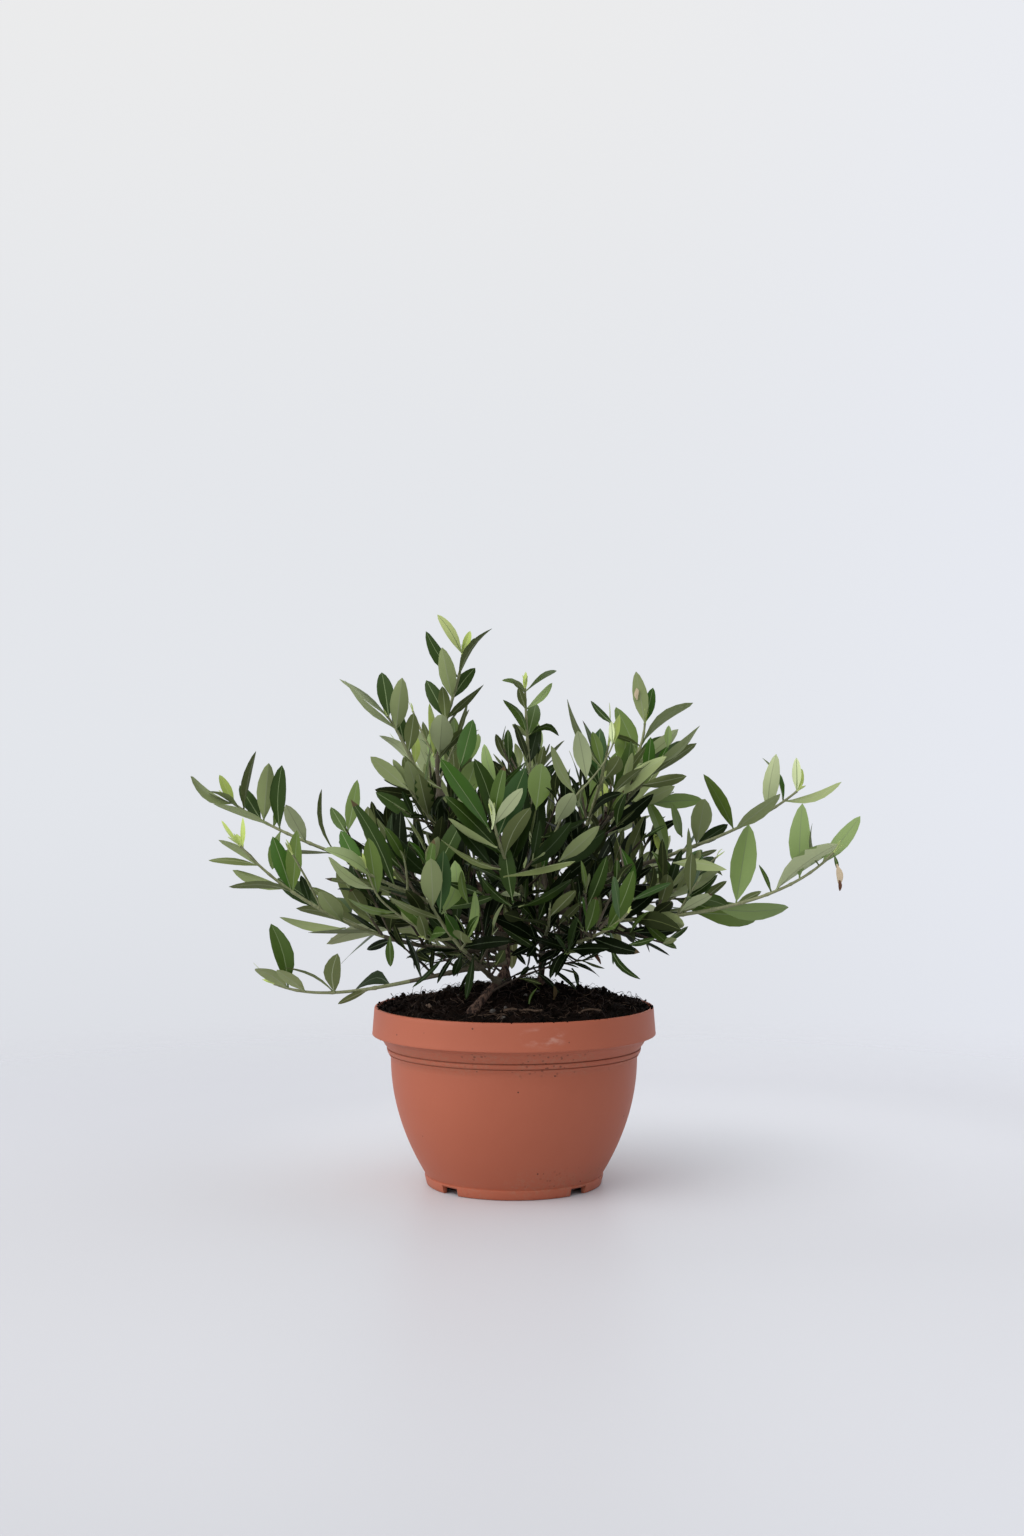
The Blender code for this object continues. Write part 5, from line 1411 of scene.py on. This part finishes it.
# low twigs: each leaves a stem near its foot, at a heading that steps round the pot, and stays over the soil
def growLowTwigs(crown, stemPaths, twigPaths, rng):
    names = list(stemPaths)
    for k in range(lowTwigs["count"]):
        name = names[k % len(names)]
        start = even(stemPaths[name], 2, rng.uniform(*lowTwigs["share"]))[0]
        scatter = lowTwigs["headingScatter"]
        heading = lowTwigs["headingStep"] * k + rng.uniform(-scatter, scatter)
        length = rng.uniform(*lowTwigs["length"])
        rise, arrive = rng.uniform(*lowTwigs["rise"]), rng.uniform(*lowTwigs["arrive"])
        level = np.array([math.cos(heading), math.sin(heading), 0.0])
        climb = math.tan(math.radians((rise + arrive) / 2))
        tip = start + length * unit(level + up * climb)
        if np.hypot(tip[0], tip[1]) > lowTwigs["reach"]:
            continue
        path = shootCurve(start, tip, rise, arrive)
        leafLength = rng.uniform(*lowTwigs["leaf"])
        leafy = even(path, growth["curvePoints"], lowTwigs["bare"])
        leaves, _ = growAxis(rng, leafy, lowTwigs["pairs"], leafLength, lowTwigs["lift"])
        twigPaths.append((name, path))
        for leaf in leaves:
            leaf["width"] *= lowTwigs["leafWidth"]
            leaf["shoot"] = innerGroup(name)
            if crown.hasRoomFor(leaf, overPot=True):
                crown.add(leaf)


# the single leaves, and dry flecks on the first leaf of the right-hand top shoot
def addOddLeaves(crown):
    for group, base, tip, width, bend, colour in oddLeaves.values():
        base, tip = np.array(base), np.array(tip)
        way = unit(tip - base)
        face = np.array(shownLook["oddFace"])
        length = float(np.linalg.norm(tip - base))
        crown.add(dict(base=base, way=way, face=unit(face - way * (way @ face)), length=length, width=width,
                       age=0.5, shoot=group, bend=bend, colour=colour))
    leaf = next(leaf for leaf in crown.leaves if leaf["shoot"] == "top_right")
    outer = leaf["face"] * -np.sign(leaf["face"][1])
    side = np.cross(outer, leaf["way"])
    for along, aside, length, width in flecks:
        base = leaf["base"] + leaf["way"] * (along * leaf["length"]) + side * (aside * leaf["width"])
        crown.add(dict(base=base + outer * 0.0011, way=leaf["way"], face=outer, length=length, width=width,
                       age=0.5, shoot="top_right", bend=0.0, colour="beige", shown=0))


# two narrow leaves, nearly in line with the tip of each limb
def addBuds(crown, limbs, rng):
    for name, path in limbs:
        tangents, sides = frames(path)
        length = rng.uniform(*buds["length"])
        roll = rng.uniform(0, math.pi)
        for turn in (0, 1):
            radial = turned(sides[-1], np.cross(tangents[-1], sides[-1]), roll + turn * math.pi)
            spread = math.radians(rng.uniform(*buds["spread"]))
            bud = growLeaf(rng, path[-1], tangents[-1], radial, spread, length, buds["lift"], 0.0)
            bud["width"] = length * buds["width"]
            bud["shoot"] = name if name in shoots else innerGroup(name)
            bud["young"] = outwardness(bud) > buds["youngOut"]
            crown.add(bud)


# the whole plant: what grows first has its room first
def growPlant():
    stemPaths, shootPaths, leaders = limbPaths()
    limbs = [(path, np.linspace(*stems[name]["radii"], len(path))) for name, path in stemPaths.items()]
    limbs += [(path, np.full(len(path), growth["shootRadius"])) for path in shootPaths.values()]
    crown = Crown(np.vstack([path for path, _ in limbs]), np.concatenate([radii for _, radii in limbs]))
    twigPaths = []
    placeMeasured(crown, shootPaths, twigPaths)
    waiting = growShoots(crown, shootPaths, leaders, twigPaths)
    sourceCount = len(crown.leaves)
    fillHeart(crown, waiting, shootPaths, twigPaths)
    rng = random.Random(lowTwigs["seed"])
    growLowTwigs(crown, stemPaths, twigPaths, rng)
    addOddLeaves(crown)
    addBuds(crown, [*shootPaths.items(), *twigPaths], rng)
    print("leaves", sourceCount, "by the source's rule,", len(crown.leaves), "in all")
    return stemPaths, shootPaths, twigPaths, crown


# Leaves

# tops and unders run from near black to pale: shaded and lit copies of the leaf's greens, dealt as painted
# light and shade
leafLook = {
    "tops": [(0.0052, 0.0095, 0.0025), (0.013, 0.026, 0.005), (0.028, 0.056, 0.008), (0.058, 0.103, 0.016),
             (0.108, 0.166, 0.032), (0.190, 0.272, 0.082), (0.320, 0.405, 0.165)],
    "unders": [(0.038, 0.050, 0.017), (0.138, 0.168, 0.060), (0.275, 0.328, 0.140), (0.430, 0.490, 0.265)],
    "ribs": [(0.036, 0.056, 0.020), (0.155, 0.21, 0.085)],
    "topRoughness": 0.38,
    "underRoughness": 0.62,
    "ribRoughness": 0.5,
    "brownTips": 0.035,
    "seed": 21,
}
# colours with a place of their own: colour, roughness and specular
leafExtras = {
    "bright": ((0.040, 0.104, 0.010), 0.38, 0.12),
    # a dark green with a bluish cast that stands in for the sky's reflection: a painted reflection
    "cool": ((0.030, 0.072, 0.017), 0.38, 0.16),
    "jade": ((0.050, 0.118, 0.020), 0.38, 0.18),
    "lime": ((0.40, 0.46, 0.17), 0.55, 0.3),
    "underRib": ((0.30, 0.34, 0.19), 0.6, 0.3),
    "young": ((0.46, 0.57, 0.13), 0.5, 0.4),
    "youngUnder": ((0.52, 0.61, 0.22), 0.6, 0.3),
    "pale": ((0.66, 0.74, 0.41), 0.6, 0.3),
    "withered": ((0.12, 0.055, 0.03), 0.8, 0.2),
    "beige": ((0.62, 0.50, 0.34), 0.8, 0.2),
    "dryTip": ((0.085, 0.060, 0.026), 0.8, 0.2),
}
# painted light and shade on a leaf's top: it climbs from the crown's heart outwards, to the limbs' tips and
# the right
paintedLeafShade = {
    "inside": (0.0, 0.02, 0.215),
    "outside": (0.165, 0.170, 0.125),
    # painted shade: darker low over the soil
    "low": (0.185, 0.03, 0.11, 0.6),  # over the soil: level, fade, radius and loss
    "climb": (6.2, 0.58, 0.60, 1.1),  # gain, start, span and most
    # painted light on the outermost leaves
    "rimLight": (1.2, 0.90, 0.25, 1),  # the same, for the outermost leaves
    "toTip": 0.8,
    "scatter": (-1.2, 1.6),
    # painted light: lighter to the right
    "toRight": 9.0,
    "darkest": (0.62, 0.09),  # where the darkest tops stop, and how soon
    # undersides follow the same painted light and shade
    "under": (0.48, 0.1, 0.6),  # an underside's share of the shade, its middle and its scatter
    "brightShare": 0.10,
    "skySheenShare": 0.15,
}
leafShape = {
    "stations": (0.0, 0.05, 0.15, 0.31, 0.48, 0.65, 0.80, 0.92, 1.0),
    "widthGain": 0.98,
    "widthRange": (0.70, 1.0),
    "innerWidth": ((0.3, 0.9), (0.74, 1.0)),  # width share by outwardness
    "mostWidth": 0.0155,
    "leastHalf": (0.00065, 0.00012),  # half width of the stalk and of the tip
    "rib": 0.00042,
    "thickness": 0.00045,
    "fold": (0.30, 0.2, 1.5),  # size, and its least and most share
    "curl": (0.24, 0.2, 1.4),
    "bow": 0.055,
    "sickle": 0.030,
    "turn": 0.35,
}


# a leaf side: one plain green, with satin sheen that wanders and a faint grain
def makeLeafFinish(name, colour, roughness, specular):
    finish = Finish(name, roughness, specular, colour)
    sheen = finish.noise(120, 2)
    finish.paint("Roughness", (roughness - 0.08) + 0.16 * sheen)
    finish.bump(finish.noise(240, 2), 0.00006, 0.4)
    return finish.material


# how far out a leaf stands in the crown: 0 in its heart, 1 at its outside, and less low over the soil
def outwardness(leaf):
    place = alongLeaf(leaf, 0.6)
    out = np.linalg.norm((place - np.array(paintedLeafShade["inside"])) / np.array(paintedLeafShade["outside"]))
    level, fade, radius, loss = paintedLeafShade["low"]
    low = np.clip((level - place[2]) / fade, 0, 1) * (np.hypot(place[0], place[1]) < radius)
    return float(out) * (1 - loss * low)


# blade: chord from base to tip, bowed by sin(pi u) along its face and its side, turned about itself along u;
# across v the section is fold |v| - curl v^2; the width is a sine arch, pointed below and blunt at the tip
def bladeMesh(leaves, rng):
    count = len(leaves)
    base, way, face = (np.array([leaf[key] for leaf in leaves]) for key in ("base", "way", "face"))
    length, width = (np.array([leaf[key] for leaf in leaves]) for key in ("length", "width"))
    side = np.cross(face, way)
    u = np.array(leafShape["stations"])
    arch = np.sin(np.pi * u)
    bow = rng.normal(0.55, 0.9, count) * leafShape["bow"]
    sickle = rng.normal(0, 1, count) * leafShape["sickle"]
    sickle = np.array([leaf.get("bend", value) for leaf, value in zip(leaves, sickle)])
    turn = rng.normal(0, 1, count) * leafShape["turn"]
    fold, curl = (leafShape[key][0] * rng.uniform(*leafShape[key][1:], count) for key in ("fold", "curl"))
    angle = turn[:, None] * (u - 0.4)
    across = side[:, None] * np.cos(angle)[..., None] + face[:, None] * np.sin(angle)[..., None]
    facing = face[:, None] * np.cos(angle)[..., None] - side[:, None] * np.sin(angle)[..., None]
    rib = (base[:, None] + way[:, None] * (length[:, None] * u)[..., None]
           + face[:, None] * (length[:, None] * bow[:, None] * arch)[..., None]
           + side[:, None] * (length[:, None] * sickle[:, None] * arch)[..., None])
    inner = np.clip((u - 0.04) / 0.96, 0, 1)
    inward = np.interp([outwardness(leaf) for leaf in leaves], *leafShape["innerWidth"])
    ruled = width * leafShape["widthGain"] * inward * rng.uniform(*leafShape["widthRange"], count)
    width = np.where(["shown" in leaf for leaf in leaves], width, np.minimum(ruled, leafShape["mostWidth"]))
    half = width[:, None] / 2 * np.sin(np.pi * inner ** 0.98) ** (0.95 - 0.35 * u)
    half = np.maximum(half, np.where(u < 0.5, *leafShape["leastHalf"]))
    ribHalf = np.minimum(leafShape["rib"] * (1 - 0.65 * u), half * 0.45)
    thick = leafShape["thickness"] * (1 - 0.6 * u) + np.where(u < 0.1, 0.0004, 0)
    v = np.stack([-half, -half * 0.55, -ribHalf, ribHalf, half * 0.55, half, ribHalf, -ribHalf], axis=-1)
    share = abs(v) / half[..., None]
    lift = half[..., None] * (fold[:, None, None] * share - curl[:, None, None] * share ** 2)
    lift[..., 6:] -= thick[..., None]
    corners = rib[:, :, None] + across[:, :, None] * v[..., None] + facing[:, :, None] * lift[..., None]
    rows, columns = len(u), v.shape[-1]
    shell = tubeFaces(rows, columns)
    faces = [[k + n * rows * columns for k in face] for n in range(count) for face in shell]
    # 0 top, 1 rib, 2 under, 3 rib below, for each quad of a ring and for the two caps
    kinds = np.concatenate([np.tile([0, 0, 1, 0, 0, 2, 3, 2], rows - 1), [1, 0]])
    return corners, faces, kinds


# names and materials of every slot a leaf can take
def leafFinishes():
    table = {}
    for k, colour in enumerate(leafLook["tops"]):
        table["top%d" % k] = (colour, leafLook["topRoughness"], 0.03 + 0.045 * k)
    for k, colour in enumerate(leafLook["unders"]):
        table["under%d" % k] = (colour, leafLook["underRoughness"], 0.05 + 0.07 * k)
    for k, colour in enumerate(leafLook["ribs"]):
        table["rib%d" % k] = (colour, leafLook["ribRoughness"], 0.3)
    table.update(leafExtras)
    return {name: makeLeafFinish("leaf" + name[0].upper() + name[1:], *row) for name, row in table.items()}


# each leaf's slots (top, rib, under and lower rib): dark in the crown's heart, paler towards the limbs' tips:
# painted shade and light
def dealSlots(leaf, rng):
    named = leaf.get("colour", "")
    if named in ("withered", "beige", "dryTip"):
        return [named] * 4
    if named == "young" or leaf.get("young"):
        return ["young", "youngUnder", "youngUnder", "youngUnder"]
    if named.startswith("under"):
        level = int(named[-1])
        return ["top%d" % (level + 2), "rib1", named, "underRib" if level else "under1"]
    if named:
        if named in ("top0", "top1"):
            return [named, "rib0", "under0", "under1"]
        return [named, "rib1", "under2", "underRib"]
    out = outwardness(leaf)
    shade = 0
    for gain, start, span, most in (paintedLeafShade["climb"], paintedLeafShade["rimLight"]):
        shade += gain * np.clip((out - start) / span, 0, most)
    byAge = paintedLeafShade["toTip"] * (1 - leaf["age"])
    shade += byAge + rng.normal(*paintedLeafShade["scatter"]) + paintedLeafShade["toRight"] * leaf["base"][0]
    darkest = int(np.clip((out - paintedLeafShade["darkest"][0]) / paintedLeafShade["darkest"][1], 0, 2))
    top = int(np.clip(round(shade), darkest, len(leafLook["tops"]) - 1))
    follow, middle, spread = paintedLeafShade["under"]
    under = round(follow * shade + rng.normal(middle, spread))
    under = int(np.clip(under, darkest > 1, len(leafLook["unders"]) - 1))
    chance = rng.uniform()
    # a share of the tops take the green with the painted sky reflection
    extra = "bright" if chance < paintedLeafShade["brightShare"] else "cool"
    name = "top%d" % top if top < 2 or chance > paintedLeafShade["skySheenShare"] else extra
    return [name, "rib%d" % (top > 1), "under%d" % under, "underRib" if under else "under1"]


# one piece of leaves for each stem's limbs, with a few brown ends
def makeLeaves(crown, finishes):
    rng = np.random.default_rng(leafLook["seed"])
    order = list(finishes)
    for group, stem in (("leftLeaves", "trunk"), ("rightLeaves", "right_stem"), ("backLeaves", "back_stem")):
        members = [name for name, shoot in shoots.items() if shoot["stem"] == stem]
        leaves = [leaf for leaf in crown.leaves if leaf["shoot"] in members]
        corners, faces, kinds = bladeMesh(leaves, rng)
        dealt = [[order.index(slot) for slot in dealSlots(leaf, rng)] for leaf in leaves]
        slots = np.array(dealt)[:, kinds]
        browned = rng.uniform(0, 1, len(leaves)) < leafLook["brownTips"]
        browned &= np.array(["shown" not in leaf for leaf in leaves])
        slots[np.ix_(browned, np.arange(-10, 0))] = order.index("dryTip")
        piece = addPiece(group, corners, faces, finishes.values(), slots.ravel(), sharpAngle=75)
        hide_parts(*[name + "_leaves" for name in members])
        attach(piece, "root")
        print(group, len(leaves), "leaves", len(faces), "faces")


# Bark

barkLook = {
    # ridge and furrow: partly the bark's own tone, partly painted highlight and shade on its relief
    "ridge": (0.135, 0.082, 0.058),
    "furrow": (0.018, 0.009, 0.007),
    "lichen": (0.260, 0.195, 0.150),
    "young": (0.105, 0.088, 0.055),
    "green": (0.260, 0.275, 0.140),
    "brown": (0.045, 0.030, 0.020),
}
bark = {
    "slim": 0.68,
    "flare": 0.65,
    "flareLength": 0.012,
    "sunk": 0.003,
    "ridge": 0.13,
    "ridgeLength": 0.007,
    "lobes": 0.05,
    "knotEvery": 0.013,
    "knot": 0.10,
    "step": 0.0009,
    "around": 40,
}
twigWood = {
    "shootRadii": (0.0020, 0.0015, 0.0008),
    "twigRadii": (0.0010, 0.0006),
    "lowTwigRadii": (0.0008, 0.0005),
    "footSwelling": (0.8, 0.004),
    "shootNodes": 0.30,
    "twigNodes": 0.25,
    "nodeWidth": 0.0012,
    "oldNodes": (0.012, 0.014),
    "greenFrom": 0.42,
    "step": 0.0016,
    "twigRings": 22,
    # brown inside the crown: partly older wood, partly painted shade
    "brownInside": 0.62,
    "greenOutside": 0.80,
}


# furrowed bark: noise stretched along the stem, with pale patches on its ridges
def makeBark():
    finish = Finish("greyBrownBark", 0.85, 0.25)
    streaks = finish.noise(520, 4, 0.65, stretch=(1, 1, 0.22))
    patches = finish.noise(90, 3)
    # furrow and ridge colours follow the bump: partly bark tone, partly painted shade and highlight
    colour = finish.mix(streaks.step(0.40, 0.60), barkLook["furrow"], barkLook["ridge"])
    colour = finish.mix(patches.step(0.52, 0.66) * streaks.step(0.50, 0.62) * 0.6, colour, barkLook["lichen"])
    finish.paint("Base Color", colour)
    finish.paint("Roughness", 0.74 + 0.2 * patches)
    finish.bump(streaks, 0.0013, 1.0)
    return finish.material


# smooth young bark or a fibre's skin: one colour and a darker one, in streaks
def makeTwigBark(name, colour, roughness):
    finish = Finish(name, roughness, 0.35)
    along = finish.noise(700, 3, stretch=(1, 1, 0.3))
    finish.paint("Base Color", finish.mix(along.step(0.3, 0.7), colour, tuple(0.72 * c for c in colour)))
    finish.bump(along, 0.0003, 0.6)
    return finish.material


# stem: radius (taper + flare near the foot) x (1 + furrows that run along it + a swelling at each old node)
def makeStems(stemPaths):
    corners, faces = [], []
    offset = 0
    for number, (name, coarse) in enumerate(stemPaths.items()):
        low, high = (bark["slim"] * radius for radius in stems[name]["radii"])
        path = np.vstack([[coarse[0] - up * bark["sunk"]], coarse])
        count = int(runOf(path)[-1] / bark["step"])
        path = even(path, count)
        run = runOf(path)
        tangents, sides = frames(path)
        near = np.clip(1 - (run - bark["sunk"]) / bark["flareLength"], 0, 1)
        axis = units(tangents * (1 - near[:, None]) + up * near[:, None])
        sides = units(sides - axis * np.sum(sides * axis, axis=1, keepdims=True))
        radius = np.interp(run, (0, run[-1]), (low, high)) * (1 + bark["flare"] * near ** 2)
        angle = circle(bark["around"])
        spot = (1.9 * np.cos(angle)[None], 1.9 * np.sin(angle)[None], run[:, None] / bark["ridgeLength"])
        furrows = layeredGrain(np.stack(np.broadcast_arrays(*spot), axis=-1) + 9 * number, 11, 3)
        phase = (run / bark["knotEvery"] + 0.3 * number) % 1
        knots = np.exp(-((phase - 0.5) / 0.10) ** 2)[:, None]
        lobes = 1 + bark["lobes"] * np.cos(3 * angle[None] + run[:, None] * 60) * near[:, None] * 3
        rough = 1 + bark["ridge"] * furrows + bark["knot"] * knots * (0.6 + 0.4 * furrows)
        r = radius[:, None] * rough * lobes
        ring = ringsRound(angle, sides, np.cross(axis, sides))
        corners.append((path[:, None] + ring * r[..., None]).reshape(-1, 3))
        faces += tubeFaces(count, bark["around"], offset)
        offset += count * bark["around"]
    piece = addPiece("barkStems", np.concatenate(corners), faces, [makeBark()], sharpAngle=70)
    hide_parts(*stems)
    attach(piece, "root")
    print("stems", len(faces), "faces")


# radius x (1 + a bell at each node)
def swollen(radius, run, places, height):
    for place in places:
        radius = radius * (1 + height * np.exp(-((run - place) / twigWood["nodeWidth"]) ** 2))
    return radius


# shoots: brown where they leave the stem, green towards the tip, wide at the foot and swollen at each node
def makeShoots(shootPaths, finishes):
    paths, radii, slots = [], [], []
    for name, coarse in shootPaths.items():
        shoot = shoots[name]
        length = runOf(coarse)[-1]
        count = int(length / twigWood["step"])
        run = np.linspace(0, length, count)
        radius = np.interp(run / length, (0, 0.3, 1.0), twigWood["shootRadii"])
        height, reach = twigWood["footSwelling"]
        radius = radius * (1 + height * np.exp(-(run / reach) ** 2))
        nodes = shoot["bare"] * length + nodeShares(shoot["pairs"]) * (1 - shoot["bare"]) * length
        first, apart = twigWood["oldNodes"]
        lower = np.arange(first, max(first + 0.001, shoot["bare"] * length), apart)
        paths.append(even(coarse, count))
        radii.append(swollen(radius, run, [*nodes, *lower], twigWood["shootNodes"]))
        green = run[:-1] >= twigWood["greenFrom"] * length
        slots.append(np.append(np.repeat(green, 8), [0, 1]))
    corners, faces, _ = tubeMesh(paths, radii, 8)
    piece = addPiece("leafyShoots", corners, faces, finishes[:2], np.concatenate(slots), sharpAngle=70)
    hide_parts(*[name + "_bough" for name, shoot in shoots.items() if shoot["bare"]])
    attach(piece, "root")


# side twigs: brown in the heart and low over the soil, green outside: partly old wood, partly painted shade
def makeTwigs(twigPaths, finishes):
    paths, radii, shades = [], [], []
    for name, coarse in twigPaths:
        length = runOf(coarse)[-1]
        run = np.linspace(0, length, twigWood["twigRings"])
        ends = twigWood["lowTwigRadii" if name in stems else "twigRadii"]
        nodes = nodeShares(3 if length < growth["fourPairSpan"] else 4) * length
        paths.append(even(coarse, twigWood["twigRings"]))
        radii.append(swollen(np.interp(run / length, (0, 1.0), ends), run, nodes, twigWood["twigNodes"]))
        out = outwardness({"base": paths[-1][-1], "way": up, "length": 0.0})
        brown = name in stems or out < twigWood["brownInside"]
        shades.append(2 if brown else 0 if out < twigWood["greenOutside"] else 1)
    corners, faces, owner = tubeMesh(paths, radii, 6)
    piece = addPiece("sideTwigs", corners, faces, finishes, np.array(shades)[owner], sharpAngle=70)
    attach(piece, "root")


makeCamera()
makeLight()
makeFloor()
makePot()
makeSoil()
makeCrumbs()
makeFibres()
stemPaths, shootPaths, twigPaths, crown = growPlant()
makeStems(stemPaths)
twigBarks = [makeTwigBark(shade + "Bark", barkLook[shade], roughness)
             for shade, roughness in (("young", 0.7), ("green", 0.6), ("brown", 0.8))]
makeShoots(shootPaths, twigBarks)
makeTwigs(twigPaths, twigBarks)
print("shoots", len(shootPaths), "and twigs", len(twigPaths))
makeLeaves(crown, leafFinishes())
bpy.context.scene.view_settings.view_transform = "Standard"
